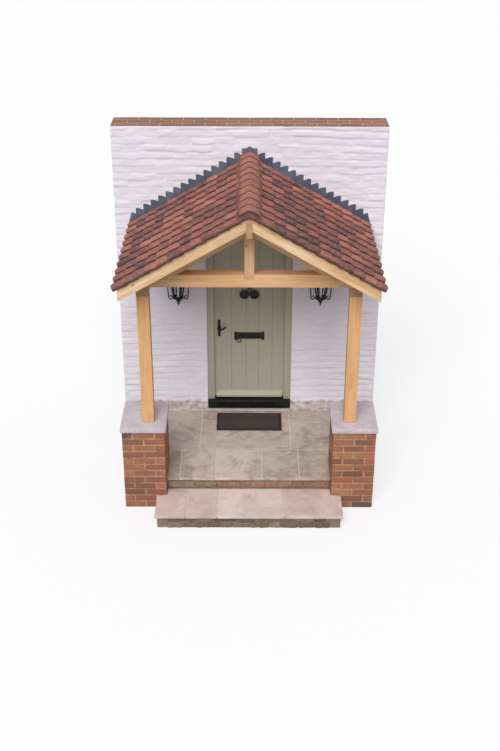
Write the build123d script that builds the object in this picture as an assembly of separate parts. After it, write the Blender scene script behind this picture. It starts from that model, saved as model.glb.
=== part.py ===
from build123d import *

import os
from math import cos, radians, sin, sqrt, tan

# Gabled timber entrance porch on brick piers, with its bay of house wall, door and steps.
# Millimetres, +Z up, +X to the right seen from the street, +Y into the house.
# The origin is on the ground at the centre of the whole part's footprint.

# House wall
wall_thickness = 340
bay_width = 2800
bay_height = 3560
porch_depth = 1898              # wall face to the front of the lower step

# Steps and landing
step_height = 153
step_width = 1890
step_slab = 28
landing_rise = 130
landing_depth = 1400
landing_wing = 160              # how far the landing runs out behind each pier
flag_thickness = 30
nosing = 15                     # overhang of a slab past its riser

# Brick piers and their caps
pier_width = 430
pier_depth = 530
pier_height = 895
pier_spacing = 1680             # clear width between the piers
pier_front = 1513               # wall face to the front of a pier
cap_thickness = 54
cap_overhang = 15

# Oak frame
post_size = 120
post_spacing = 1900             # clear width between the posts
post_front = 1392               # wall face to the front of the posts
plate_depth = 94
head_height = 2418              # ground to the underside of the tie beam
tie_depth = 128
king_width = 95
king_lap = 50                   # how far the king post's foot laps down the tie beam
king_lap_depth = 30
rafter_depth = 150
purlin_depth = 75
purlin_width = 75
purlin_places = (330, 660, 905)  # centre line to the upper face of each purlin
ridge_beam_width = 55
ridge_beam_depth = 150
barge_depth = 118
barge_thickness = 28
barge_front = 1727              # wall face to the front of the barge boards
barge_reach = 1206              # centre line to the plumb cut at a barge board's tip

# Roof covering
roof_pitch = 30
board_apex = 3221               # ground to where the tops of the two boarded slopes meet
board_thickness = 18
board_reach = 1196
batten_thickness = 25
batten_width = 38
batten_count = 12
verge_front = 1765              # wall face to the front edge of the tiles
eave_reach = 1238               # centre line to the lower edge of the tiles
tile_thickness = 12
roll_count = 10
roll_height = 30
roll_crown = 42                 # front edge of a run to the crown of its roll
roll_flat = 12                  # level pan at the back of each run
ridge_leg = 113
ridge_thickness = 14
ridge_round = 50                # radius of a ridge tile's back
ridge_lap = 12                  # how far one ridge tile's front end stands over the next one
flashing_thickness = 4
flashing_gap = 0.3              # between the lead and the last ridge tile
flashing_upstand = 40
flashing_steps = 16

# Door frame, threshold and leaf
frame_width = 926
frame_face = 75
frame_depth = 89
frame_recess = 20
rebate_width = 20
head_face = 54
threshold_rise = 142            # landing to the top of the threshold
threshold_front = 30
sill_step = 45                  # stone that shows under the threshold
leaf_thickness = 44
leaf_height = 1975
leaf_gap = 7
sill_gap = 8
stop_gap = 5
weather_bar_height = 70
weather_bar_depth = 34
weather_bar_inset = 30
hinge_radius = 7
hinge_pin_radius = 4
hinge_height = 100
hinge_standoff = 8
hinge_plate = 3
hinge_plate_width = 26
hinge_knuckle = 34              # height of the leaf's knuckle, in the middle of each hinge
hinge_places = (250, 990, 1730)
pin_gap = 0.3                   # round every pin and at the ends of its knuckles

# Door furniture
spindle_height = 867            # threshold to the lever's spindle
backset = 62
spindle_radius = 5
spindle_bore = 8
handle_plate_width = 42
handle_plate_height = 208
plate_thickness = 6
lever_length = 84
lever_radius = 9
lever_rise = 16                 # degrees that a lever at rest slopes up
lever_standoff = 38
letter_plate_width = 330
letter_plate_height = 78
letter_slot_width = 250
letter_slot_height = 44
letter_mouth_width = 226
letter_mouth_height = 28
letter_ring_radius = 22
letter_ring_bar = 4
letter_ring_place = 111         # centre of the plate to the ring at its left end
letter_end_width = 26
letter_end_height = 98
letter_end_thickness = 11
letter_height = 776             # threshold to the centre of the letter plate
flap_gap = 5
flap_seat = 0.3                 # between the closed flap and the back of its plate
flap_thickness = 5
flap_pin_radius = 3
knocker_height = 1429           # threshold to the knocker's pivot
knocker_drop = 150
knocker_lobe = 53
knocker_lobe_spacing = 110
knocker_thickness = 14
knocker_standoff = 14
knocker_eye = 8
knocker_eye_width = 30
knocker_pin = 3
knocker_ear = 6
knocker_ear_gap = 1
knocker_plate_half = 26
strike_radius = 10
strike_gap = 0.5

# Wall lanterns
lantern_spacing = 1518
lantern_base = 1743             # ground to the underside of the lantern's body
lantern_height = 210
lantern_bottom = 104
lantern_top = 160
lantern_bar = 12
lantern_reach = 120             # wall face to the lantern's centre
glass_thickness = 3
roof_height = 70
finial_length = 98
scroll_reach = 116              # lantern's centre to the outside of a scroll
scroll_loop = 24
loop_sides = 16                 # flats round a loop; a multiple of four
scroll_bar = 10
scroll_width = 12
arm_radius = 7
backplate_height = 190
backplate_width = 70

# Doormat
mat_width = 720
mat_depth = 366
mat_thickness = 18
mat_gap = 80                    # wall face to the mat

# Places worked out from the sizes
wall_y = (porch_depth - wall_thickness) / 2
step_y = wall_y - porch_depth
landing_top = step_height + landing_rise
slope = tan(radians(roof_pitch))
slope_cos = cos(radians(roof_pitch))
slope_sin = sin(radians(roof_pitch))
pier_inner = pier_spacing / 2
post_inner = post_spacing / 2
post_outer = post_inner + post_size
truss_front = wall_y - post_front
truss_back = truss_front + post_size
tie_top = head_height + tie_depth
plate_bottom = head_height - plate_depth
board_underside = board_apex - board_thickness / slope_cos
purlin_underside = board_underside - purlin_depth / slope_cos
rafter_underside = purlin_underside - rafter_depth / slope_cos
batten_top = board_apex + batten_thickness / slope_cos
barge_y = wall_y - barge_front
barge_back = barge_y + barge_thickness
ridge_beam_top = board_underside - ridge_beam_width / 2 * slope
ridge_beam_underside = ridge_beam_top - ridge_beam_depth
cap_top = pier_height + cap_thickness
tile_crown = tile_thickness + roll_height
tile_length = eave_reach / slope_cos
tile_run = verge_front / roll_count

frame_half = frame_width / 2
opening_half = frame_half - frame_face
rebate_half = opening_half + rebate_width
threshold_top = landing_top + threshold_rise
leaf_half = rebate_half - leaf_gap
leaf_bottom = threshold_top + sill_gap
leaf_top = leaf_bottom + leaf_height
frame_y = wall_y + frame_recess
frame_back = frame_y + frame_depth
leaf_back = frame_back
leaf_y = leaf_back - leaf_thickness
stop_back = leaf_y - stop_gap
head_underside = leaf_top + leaf_gap
frame_top = head_underside + head_face - rebate_width
hinge_x = (leaf_half + rebate_half) / 2
hinge_y = leaf_back + hinge_standoff
spindle_x = -leaf_half + backset + leaf_gap
spindle_z = threshold_top + spindle_height
letter_z = threshold_top + letter_height
knocker_z = threshold_top + knocker_height


def block(x0, x1, y0, y1, z0, z1):
    """A square-edged piece between two corners."""
    return Pos((x0 + x1) / 2, (y0 + y1) / 2, (z0 + z1) / 2) * Box(x1 - x0, y1 - y0, z1 - z0)


def front_profile(points, y0, y1):
    """An outline drawn in the front view, cut from timber that runs from y0 to y1."""
    outline = Polyline(*[(x, y0, z) for x, z in points], close=True)
    return extrude(make_face(outline), amount=y1 - y0, dir=(0, 1, 0))


def side_profile(points, x0, x1):
    """An outline drawn in the side view, as (y, z), that runs from x0 to x1."""
    outline = Polyline(*[(x0, y, z) for y, z in points], close=True)
    return extrude(make_face(outline), amount=x1 - x0, dir=(1, 0, 0))


def sloping_board(apex, depth, x0, x1, y0, y1):
    """A board on the right slope with plumb ends; apex is its top edge's height on the centre line."""
    drop = depth / slope_cos
    return front_profile(
        [(x0, apex - slope * x0), (x1, apex - slope * x1),
         (x1, apex - slope * x1 - drop), (x0, apex - slope * x0 - drop)],
        y0, y1,
    )


def on_left(piece):
    """The left-hand twin of a right-hand piece."""
    return mirror(piece, about=Plane.YZ)


def house_wall():
    right = block(frame_half, bay_width / 2, wall_y, wall_y + wall_thickness, 0, bay_height)
    back = wall_y + wall_thickness
    return {
        "wall_right": right,
        "wall_left": on_left(right),
        "wall_over_door": block(-frame_half, frame_half, wall_y, back, frame_top, bay_height),
        "wall_under_door": block(-frame_half, frame_half, wall_y, back, 0, landing_top + sill_step),
    }


def steps():
    """The landing between and behind the piers, and the wide lower step that laps round its foot."""
    pier_y = wall_y - pier_front
    pier_back = pier_y + pier_depth
    wing = pier_inner + landing_wing
    landing_y = wall_y - landing_depth
    riser_y = landing_y + nosing
    step_half = step_width / 2
    slab_bottom = step_height - step_slab
    flag_bottom = landing_top - flag_thickness

    slab = block(-step_half, step_half, step_y, pier_y, slab_bottom, step_height)
    slab += block(-pier_inner, pier_inner, step_y, riser_y, slab_bottom, step_height)
    slab -= block(-pier_inner, pier_inner, riser_y, wall_y, slab_bottom, step_height)

    masonry = block(-step_half + nosing, step_half - nosing, step_y + nosing, pier_y, 0, slab_bottom)
    masonry += block(-pier_inner, pier_inner, pier_y, wall_y, 0, slab_bottom)
    masonry += block(-pier_inner, pier_inner, riser_y, wall_y, slab_bottom, flag_bottom)
    masonry += block(-wing + nosing, wing - nosing, pier_back, wall_y, 0, flag_bottom)

    flags = block(-pier_inner, pier_inner, landing_y, wall_y, flag_bottom, landing_top)
    flags += block(-wing, wing, pier_back, wall_y, flag_bottom, landing_top)
    return {
        "landing_flags": flags,
        "step_masonry": masonry,
        "lower_step_slab": slab,
    }


def piers():
    front = wall_y - pier_front
    back = front + pier_depth
    outer = pier_inner + pier_width
    pier = block(pier_inner, outer, front, back, 0, pier_height)
    cap = block(
        pier_inner - cap_overhang, outer + cap_overhang,
        front - cap_overhang, back + cap_overhang, pier_height, cap_top,
    )
    return {
        "right_pier": pier,
        "left_pier": on_left(pier),
        "pier_caps": cap + on_left(cap),
    }


def oak_frame():
    post = block(post_inner, post_outer, truss_front, truss_back, cap_top, plate_bottom)
    plate = block(post_inner, post_outer, truss_front, wall_y, plate_bottom, head_height)

    king_half = king_width / 2
    lap = block(
        -king_half, king_half, truss_front, truss_front + king_lap_depth, tie_top - king_lap, tie_top
    )
    tie = block(-post_outer, post_outer, truss_front, truss_back, head_height, tie_top) - lap
    king = block(-king_half, king_half, truss_front, truss_back, tie_top, ridge_beam_underside) + lap

    # The rafter's foot is cut level where it sits on the tie beam, and its head butts the king
    # post and, above it, the side of the ridge beam.
    heel = (rafter_underside - tie_top) / slope
    toe = (purlin_underside - tie_top) / slope
    beam_half = ridge_beam_width / 2
    rafter = front_profile(
        [(beam_half, purlin_underside - slope * beam_half), (toe, tie_top),
         (heel, tie_top), (beam_half, rafter_underside - slope * beam_half)],
        truss_front, truss_back,
    )
    rafter -= block(-king_half, king_half, truss_front, truss_back, tie_top, ridge_beam_underside)
    ridge_beam = block(-beam_half, beam_half, barge_y, wall_y, ridge_beam_underside, ridge_beam_top)
    return {
        "right_post": post,
        "left_post": on_left(post),
        "eaves_plates": plate + on_left(plate),
        "tie_beam": tie,
        "king_post": king,
        "right_principal_rafter": rafter,
        "left_principal_rafter": on_left(rafter),
        "ridge_beam": ridge_beam,
    }


def purlins():
    """Three square timbers a side, laid on the slope and run out to carry the barge boards."""
    across = purlin_width * slope_cos
    pieces = Part()
    for place in purlin_places:
        top = board_underside - slope * place
        corners = [
            (place, top),
            (place + across, top - across * slope),
            (place + across - purlin_depth * slope_sin, top - across * slope - purlin_depth * slope_cos),
            (place - purlin_depth * slope_sin, top - purlin_depth * slope_cos),
        ]
        pieces += front_profile(corners, barge_back, wall_y)
    return {"purlins": pieces + on_left(pieces)}


def barge_boards():
    """Boards that meet on the centre line, over the end of the ridge beam that shows between them."""
    beam_half = ridge_beam_width / 2
    board = sloping_board(batten_top, barge_depth, 0, barge_reach, barge_y, barge_back)
    board -= block(-beam_half, beam_half, barge_y, barge_back, ridge_beam_underside, ridge_beam_top)
    return {"right_barge_board": board, "left_barge_board": on_left(board)}


def roof_boards():
    boards = sloping_board(board_apex, board_thickness, 0, board_reach, barge_back, wall_y)
    battens = Part()
    step = (tile_length - batten_width - ridge_leg / 2) / (batten_count - 1)
    for course in range(batten_count):
        near = ridge_leg / 2 + course * step
        foot = near * slope_cos
        rise = board_apex - near * slope_sin
        corners = [
            (foot, rise),
            (foot + batten_width * slope_cos, rise - batten_width * slope_sin),
            (foot + batten_width * slope_cos + batten_thickness * slope_sin,
             rise - batten_width * slope_sin + batten_thickness * slope_cos),
            (foot + batten_thickness * slope_sin, rise + batten_thickness * slope_cos),
        ]
        battens += front_profile(corners, barge_back, wall_y)
    return {
        "right_roof_boards": boards,
        "left_roof_boards": on_left(boards),
        "tile_battens": battens + on_left(battens),
    }


def rolled_edge(height, inset):
    """The edge of one face of the tiles across the roof: in each run a steep nose and a long fall."""
    edges = []
    for run in range(roll_count):
        start = run * tile_run - verge_front
        end = start + tile_run
        foot = (start + inset, height)
        nose = (start + inset * 0.8 + roll_crown * 0.2, height + roll_height * 0.62)
        crown = (start + roll_crown + inset / 6, height + roll_height)
        pan = (end - roll_flat - inset / 3, height)
        fall = ((crown[0] + pan[0]) / 2, height + roll_height * 0.66)
        if inset:
            edges.append(Line((start, height), foot))
        edges.append(ThreePointArc(foot, nose, crown))
        edges.append(ThreePointArc(crown, fall, pan))
        edges.append(Line(pan, (end, height)))
    return edges


def tile_slopes():
    """One rolled slope of clay tiles, hollow under its rolls, resting on the battens."""
    upper = rolled_edge(tile_thickness, 0)
    lower = rolled_edge(0, tile_thickness)
    lower.reverse()
    back = Line((0, tile_thickness), (0, 0))
    front = Line((-verge_front, 0), (-verge_front, tile_thickness))
    down_slope = (slope_cos, 0, -slope_sin)
    seat = Plane(origin=(0, wall_y, batten_top), x_dir=(0, 1, 0), z_dir=down_slope)
    section = make_face(upper + [back] + lower + [front])
    tiles = extrude(seat * section, amount=tile_length, dir=down_slope)
    return {"right_tiles": tiles, "left_tiles": on_left(tiles)}


def ridge_tiles():
    """Ridge tiles with a rounded back, one for each roll, each with its front end over the next."""
    inner = batten_top + tile_crown / slope_cos + ridge_lap
    outer = inner + ridge_thickness / slope_cos
    reach = ridge_leg * slope_cos
    bend = ridge_round * slope_sin
    shoulder = outer - bend * slope
    crown = outer - ridge_round / slope_cos + ridge_round
    pieces = Part()
    for run in range(roll_count):
        front = wall_y - verge_front + run * tile_run
        outline = Polyline(
            (bend, front, shoulder),
            (reach, front, outer - reach * slope),
            (reach, front, inner - reach * slope),
            (0, front, inner),
            (-reach, front, inner - reach * slope),
            (-reach, front, outer - reach * slope),
            (-bend, front, shoulder),
        )
        outline += ThreePointArc((-bend, front, shoulder), (0, front, crown), (bend, front, shoulder))
        fall = (0, tile_run, -ridge_lap)
        pieces += extrude(make_face(outline), amount=sqrt(tile_run ** 2 + ridge_lap ** 2), dir=fall)
    return {"ridge_tiles": pieces}


def flashings():
    """Lead dressed up the wall over the tiles, its top edge cut in level steps."""
    foot = batten_top + (tile_thickness + flashing_gap) / slope_cos
    crown = batten_top + tile_crown / slope_cos
    over_ridge = crown + (ridge_thickness + flashing_gap) / slope_cos
    saddle = ridge_leg * slope_cos + flashing_gap
    reach = eave_reach + tile_crown * slope_sin
    tread = reach / flashing_steps
    top = crown + flashing_upstand
    points = [
        (saddle, foot - slope * saddle),
        (saddle, over_ridge - slope * saddle),
        (0, over_ridge),
        (0, top + slope * tread / 2),
        (tread / 2, top),
    ]
    for step in range(flashing_steps):
        outer = (step + 1) * tread
        level = top - slope * step * tread
        points.append((outer, level))
        points.append((outer, level - slope * tread))
    points[-1] = (reach, foot - slope * reach)
    lead = front_profile(points, wall_y - flashing_thickness, wall_y)
    return {"stepped_flashing": lead + on_left(lead)}


def door_frame():
    jamb = block(rebate_half, frame_half, frame_y, frame_back, threshold_top, frame_top)
    jamb += block(opening_half, rebate_half, frame_y, stop_back, threshold_top, frame_top)
    head = block(-opening_half, opening_half, frame_y, frame_back, head_underside, frame_top)
    head += block(
        -opening_half, opening_half, frame_y, stop_back, head_underside - rebate_width, head_underside
    )
    head -= block(
        -rebate_half, rebate_half, stop_back, frame_back, head_underside - leaf_gap, head_underside
    )
    side = block(opening_half, rebate_half, stop_back, frame_back, head_underside, frame_top)
    head += side
    head += on_left(side)
    threshold = block(
        -frame_half, frame_half, wall_y - threshold_front, wall_y + wall_thickness,
        landing_top + sill_step, threshold_top,
    )
    return {
        "right_jamb": jamb,
        "left_jamb": on_left(jamb),
        "frame_head": head,
        "threshold": threshold,
    }


def door_leaf():
    leaf = block(-leaf_half, leaf_half, leaf_y, leaf_back, leaf_bottom, leaf_top)
    leaf -= block(
        -letter_slot_width / 2, letter_slot_width / 2, leaf_y, leaf_back,
        letter_z - letter_slot_height / 2, letter_z + letter_slot_height / 2,
    )
    bore = Cylinder(spindle_bore, leaf_thickness)
    leaf -= Pos(spindle_x, leaf_y + leaf_thickness / 2, spindle_z) * Rot(90, 0, 0) * bore

    bar_bottom = leaf_bottom + sill_gap
    weather_bar = side_profile(
        [(leaf_y, bar_bottom), (leaf_y - weather_bar_depth, bar_bottom),
         (leaf_y - weather_bar_depth, bar_bottom + weather_bar_height / 3),
         (leaf_y, bar_bottom + weather_bar_height)],
        -leaf_half + weather_bar_inset, leaf_half - weather_bar_inset,
    )

    fixed = Part()
    swinging = Part()
    for place in hinge_places:
        middle = leaf_bottom + place
        on_jamb, on_leaf = butt_hinge(middle)
        fixed += on_jamb
        swinging += on_leaf
    return {
        "door_leaf": leaf,
        "weather_bar": weather_bar,
        "jamb_hinges": fixed,
        "leaf_hinges": swinging,
    }


def butt_hinge(middle):
    """Both halves of one hinge: outer knuckles and pin on the jamb, the middle knuckle on the leaf."""
    at = Pos(hinge_x, hinge_y, middle)
    half = hinge_height / 2
    knuckle_half = hinge_knuckle / 2
    face = leaf_back + hinge_plate
    barrel = at * Cylinder(hinge_radius, hinge_height)
    on_jamb = barrel + block(
        hinge_x, rebate_half + hinge_plate_width, leaf_back, face, middle - half, middle + half
    )
    clear = knuckle_half + pin_gap
    on_jamb -= block(
        hinge_x - hinge_radius, rebate_half + hinge_radius, leaf_back, hinge_y + hinge_radius,
        middle - clear, middle + clear,
    )
    on_jamb += at * Cylinder(hinge_pin_radius, hinge_height)
    on_leaf = at * Cylinder(hinge_radius, hinge_knuckle) + block(
        leaf_half - hinge_plate_width, hinge_x, leaf_back, face,
        middle - knuckle_half, middle + knuckle_half,
    )
    on_leaf -= at * Cylinder(hinge_pin_radius + pin_gap, hinge_knuckle)
    return on_jamb, on_leaf


def lever_set():
    """Long plates on both faces of the leaf and a pair of levers on one spindle."""
    plates = Part()
    bore = spindle_radius + pin_gap
    for face, outward in ((leaf_y, -1), (leaf_back, 1)):
        near = min(face, face + outward * plate_thickness)
        plate = block(
            spindle_x - handle_plate_width / 2, spindle_x + handle_plate_width / 2,
            near, near + plate_thickness,
            spindle_z - handle_plate_height / 2, spindle_z + handle_plate_height / 2,
        )
        hole = Pos(spindle_x, near + plate_thickness / 2, spindle_z) * Rot(90, 0, 0)
        plates += plate - hole * Cylinder(bore, plate_thickness)

    front = leaf_y - plate_thickness - lever_standoff
    back = leaf_back + plate_thickness + lever_standoff
    spindle = Pos(spindle_x, (front + back) / 2, spindle_z) * Rot(90, 0, 0)
    levers = spindle * Cylinder(spindle_radius, back - front)
    for middle in (front, back):
        arm = Pos(spindle_x, middle, spindle_z) * Rot(0, -lever_rise, 0) * Pos(lever_length / 2, 0, 0)
        levers += arm * Rot(0, 90, 0) * Cylinder(lever_radius, lever_length)
    return {"handle_plates": plates, "door_lever": levers}


def letter_set():
    """A plate over a slot through the leaf, with a flap hung from its upper edge."""
    face = leaf_y - plate_thickness
    mouth = letter_mouth_height / 2
    plate = block(
        -letter_plate_width / 2, letter_plate_width / 2, face, leaf_y,
        letter_z - letter_plate_height / 2, letter_z + letter_plate_height / 2,
    )
    plate -= block(
        -letter_mouth_width / 2, letter_mouth_width / 2, face, leaf_y, letter_z - mouth, letter_z + mouth
    )
    for side in (-1, 1):
        middle = side * (letter_plate_width - letter_end_width) / 2
        plate += block(
            middle - letter_end_width / 2, middle + letter_end_width / 2,
            leaf_y - letter_end_thickness, leaf_y,
            letter_z - letter_end_height / 2, letter_z + letter_end_height / 2,
        )
    hang = letter_z - letter_plate_height / 2 - letter_ring_radius + letter_ring_bar
    ring = Cylinder(letter_ring_radius + letter_ring_bar, 2 * letter_ring_bar)
    ring -= Cylinder(letter_ring_radius - letter_ring_bar, 2 * letter_ring_bar)
    plate += Pos(-letter_ring_place, face, hang) * Rot(90, 0, 0) * ring

    slot = letter_slot_height / 2
    flap_half = letter_slot_width / 2 - flap_gap
    pivot = letter_z + slot - flap_gap - flap_pin_radius
    front = leaf_y + flap_seat
    flap = block(-flap_half, flap_half, front, front + flap_thickness, letter_z - slot + flap_gap, pivot)
    pin = Pos(0, front + flap_pin_radius, pivot) * Rot(0, 90, 0)
    flap += pin * Cylinder(flap_pin_radius, letter_slot_width - 2 * pin_gap)
    return {"letter_plate": plate, "letter_flap": flap}


def knocker_set():
    """An iron knocker: a backplate with two ears, and a two-lobed drop that swings from them."""
    face = leaf_y - plate_thickness - knocker_standoff - knocker_thickness / 2
    back = block(
        -knocker_plate_half, knocker_plate_half, leaf_y - plate_thickness, leaf_y,
        knocker_z - knocker_plate_half, knocker_z + knocker_plate_half,
    )
    ear_inner = knocker_eye_width / 2 + knocker_ear_gap
    ear = block(
        ear_inner, ear_inner + knocker_ear, face - knocker_eye, leaf_y - plate_thickness,
        knocker_z - knocker_eye, knocker_z + knocker_eye,
    )
    across = Pos(0, face, knocker_z) * Rot(0, 90, 0)
    back += ear + on_left(ear)
    back += across * Cylinder(knocker_pin, 2 * ear_inner)
    strike_length = leaf_y - face - knocker_thickness / 2 - strike_gap
    strike_y = leaf_y - strike_length / 2
    strike = Pos(0, strike_y, knocker_z - knocker_drop) * Rot(90, 0, 0)
    back += strike * Cylinder(strike_radius, strike_length)

    drop = Pos(0, face, knocker_z - knocker_drop)
    knocker = block(
        -knocker_eye, knocker_eye, face - knocker_thickness / 2, face + knocker_thickness / 2,
        knocker_z - knocker_drop - knocker_eye, knocker_z,
    )
    knocker += across * Cylinder(knocker_eye, knocker_eye_width)
    for side in (-1, 1):
        lobe = drop * Pos(side * knocker_lobe_spacing / 2, 0, 0) * Rot(90, 0, 0)
        knocker += lobe * Cylinder(knocker_lobe, knocker_thickness)
    knocker -= across * Cylinder(knocker_pin + pin_gap, 2 * knocker_eye_width)
    return {"knocker_plate": back, "knocker": knocker}


def frustum(bottom, top, height):
    """A four-sided taper standing on the level plane, all its faces flat."""
    outline = Polyline(
        (-bottom / 2, 0, 0), (bottom / 2, 0, 0), (top / 2, 0, height), (-top / 2, 0, height), close=True
    )
    wedge = extrude(make_face(outline), amount=max(bottom, top), dir=(0, 1, 0), both=True)
    return wedge & Rot(0, 0, 90) * wedge


def lantern_scroll():
    """One flat iron scroll: a loop beside the lantern's foot and a bowed bar up to its eaves."""
    loop_x = scroll_reach - scroll_loop - scroll_bar
    ring = RegularPolygon(scroll_loop, loop_sides) - RegularPolygon(scroll_loop - scroll_bar, loop_sides)
    loop = extrude(ring, amount=scroll_width / 2, both=True)
    scroll = Pos(loop_x, 0, 0) * Rot(90, 0, 0) * loop
    half = scroll_width / 2
    foot = -scroll_loop
    scroll += block(lantern_bottom / 2 - lantern_bar, loop_x, -half, half, foot, foot + scroll_bar)
    scroll += block(
        lantern_bottom / 2 - lantern_bar, lantern_bottom / 2, -half, half, foot, lantern_bar
    )
    eaves = lantern_top / 2
    bow = Line((loop_x + scroll_loop - scroll_bar, 0), (loop_x + scroll_loop, 0))
    bow += ThreePointArc(
        (loop_x + scroll_loop, 0), (scroll_reach, lantern_height / 2), (eaves + scroll_bar, lantern_height)
    )
    bow += Line((eaves + scroll_bar, lantern_height), (eaves, lantern_height))
    bow += ThreePointArc(
        (eaves, lantern_height), (scroll_reach - scroll_bar, lantern_height / 2),
        (loop_x + scroll_loop - scroll_bar, 0),
    )
    upright = Plane(origin=(0, -half, 0), x_dir=(1, 0, 0), z_dir=(0, -1, 0))
    scroll += extrude(upright * make_face(bow), amount=-scroll_width)
    return scroll


def lanterns():
    """Tapering four-sided lanterns with glass sides, each held by iron scrolls on a wall bracket."""
    body = frustum(lantern_bottom, lantern_top, lantern_height)
    hollow = Pos(0, 0, lantern_bar) * frustum(
        lantern_bottom - 2 * lantern_bar, lantern_top - 2 * lantern_bar, lantern_height - lantern_bar
    )
    frame = body - hollow
    light = lantern_height - 2 * lantern_bar
    lower_half = lantern_bottom / 2 - lantern_bar
    upper_half = lantern_top / 2 - lantern_bar
    pane = Polyline(
        (-lower_half, 0, lantern_bar), (lower_half, 0, lantern_bar),
        (upper_half, 0, lantern_bar + light), (-upper_half, 0, lantern_bar + light), close=True,
    )
    through = extrude(make_face(pane), amount=lantern_top, dir=(0, 1, 0), both=True)
    frame -= through
    frame -= Rot(0, 0, 90) * through
    frame += Pos(0, 0, lantern_height) * frustum(lantern_top + 2 * lantern_bar, lantern_top / 4, roof_height)
    tip = lantern_height + roof_height
    frame += Pos(0, 0, tip + finial_length / 6) * Cone(lantern_top / 12, lantern_top / 30, finial_length / 3)
    frame += Pos(0, 0, -finial_length / 2) * Rot(0, 0, 45) * Cone(1.5, lantern_bottom / 2.5, finial_length)
    scroll = lantern_scroll()
    frame += scroll + on_left(scroll)

    plate_y = lantern_reach - plate_thickness
    plate_z = lantern_height / 3
    frame += block(
        -backplate_width / 2, backplate_width / 2, plate_y, lantern_reach,
        plate_z - backplate_height / 2, plate_z + backplate_height / 2,
    )
    under = -lantern_bottom / 10
    frame += Pos(0, plate_y / 2, under) * Rot(90, 0, 0) * Cylinder(arm_radius, plate_y)

    inside = 2 * glass_thickness
    glass = frustum(lantern_bottom - lantern_bar, lantern_top - lantern_bar, light)
    glass -= frustum(lantern_bottom - lantern_bar - inside, lantern_top - lantern_bar - inside, light)
    place = Pos(lantern_spacing / 2, wall_y - lantern_reach, lantern_base)
    right = place * frame
    panes = place * (Pos(0, 0, lantern_bar) * glass - frame)
    return {
        "right_lantern": right,
        "left_lantern": on_left(right),
        "lantern_glass": panes + on_left(panes),
    }


def doormat():
    back = wall_y - mat_gap
    return {
        "doormat": block(
            -mat_width / 2, mat_width / 2, back - mat_depth, back, landing_top, landing_top + mat_thickness
        )
    }


def build():
    pieces = {}
    for group in (
        house_wall, steps, piers, oak_frame, purlins, barge_boards, roof_boards, tile_slopes,
        ridge_tiles, flashings, door_frame, door_leaf, lever_set, letter_set, knocker_set,
        lanterns, doormat,
    ):
        pieces.update(group())
    return pieces


os.makedirs("parts", exist_ok=True)
for name, piece in build().items():
    export_step(piece, f"parts/{name}.step")
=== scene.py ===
from itertools import product
from math import atan2, cos, pi, radians, sin, sqrt, tan
from random import gauss, random, seed, uniform

import bmesh
import bpy
from mathutils import Matrix, Vector, noise


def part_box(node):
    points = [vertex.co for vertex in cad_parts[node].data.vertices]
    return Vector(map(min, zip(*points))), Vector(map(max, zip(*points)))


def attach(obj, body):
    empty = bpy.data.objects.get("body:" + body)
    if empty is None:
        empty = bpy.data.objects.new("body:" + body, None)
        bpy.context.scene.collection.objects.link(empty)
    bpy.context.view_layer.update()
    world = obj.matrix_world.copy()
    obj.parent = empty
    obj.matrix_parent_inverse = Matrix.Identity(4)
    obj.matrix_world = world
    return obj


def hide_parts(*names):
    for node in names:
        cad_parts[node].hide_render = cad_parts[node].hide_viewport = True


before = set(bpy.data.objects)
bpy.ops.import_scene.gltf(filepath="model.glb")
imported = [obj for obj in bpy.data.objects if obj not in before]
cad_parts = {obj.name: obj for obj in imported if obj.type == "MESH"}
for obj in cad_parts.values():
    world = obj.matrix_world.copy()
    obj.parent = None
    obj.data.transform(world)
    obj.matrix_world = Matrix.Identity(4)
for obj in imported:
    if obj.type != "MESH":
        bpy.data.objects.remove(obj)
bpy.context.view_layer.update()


# House wall
# One bay of old brickwork, laid rough and painted white many times over, so that its joints are soft.
# The paint stops a little above the landing, where the foot of the wall is bare brick and stone.
class Shading:
    """The shader nodes of a material or of the sky."""

    def __init__(self, tree):
        self.tree = tree

    def feed(self, target, value):
        """Give a socket another socket's output, a colour or a number."""
        if isinstance(value, bpy.types.NodeSocket):
            self.tree.links.new(value, target)
        else:
            target.default_value = (*value, 1) if isinstance(value, tuple) else value

    def add(self, kind, *sources, **values):
        """A node with its sources in order. Capitalised names are sockets too, and the others settings."""
        made = self.tree.nodes.new("ShaderNode" + kind)
        for index, source in enumerate(sources):
            self.feed(made.inputs[index], source)
        for name, value in values.items():
            if name[0].islower():
                setattr(made, name, value)
            else:
                made.inputs[name.replace("_", " ")].default_value = value
        return made

    def reckon(self, operation, first, second=0.0):
        return self.add("Math", first, second, operation=operation).outputs[0]

    def looked_at(self):
        """1 where the camera sees it straight, in a gloss or through glass."""
        ray = self.add("LightPath").outputs
        seen = self.reckon("MAXIMUM", ray["Is Camera Ray"], ray["Is Glossy Ray"])
        return self.reckon("MAXIMUM", seen, ray["Is Transmission Ray"])


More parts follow.
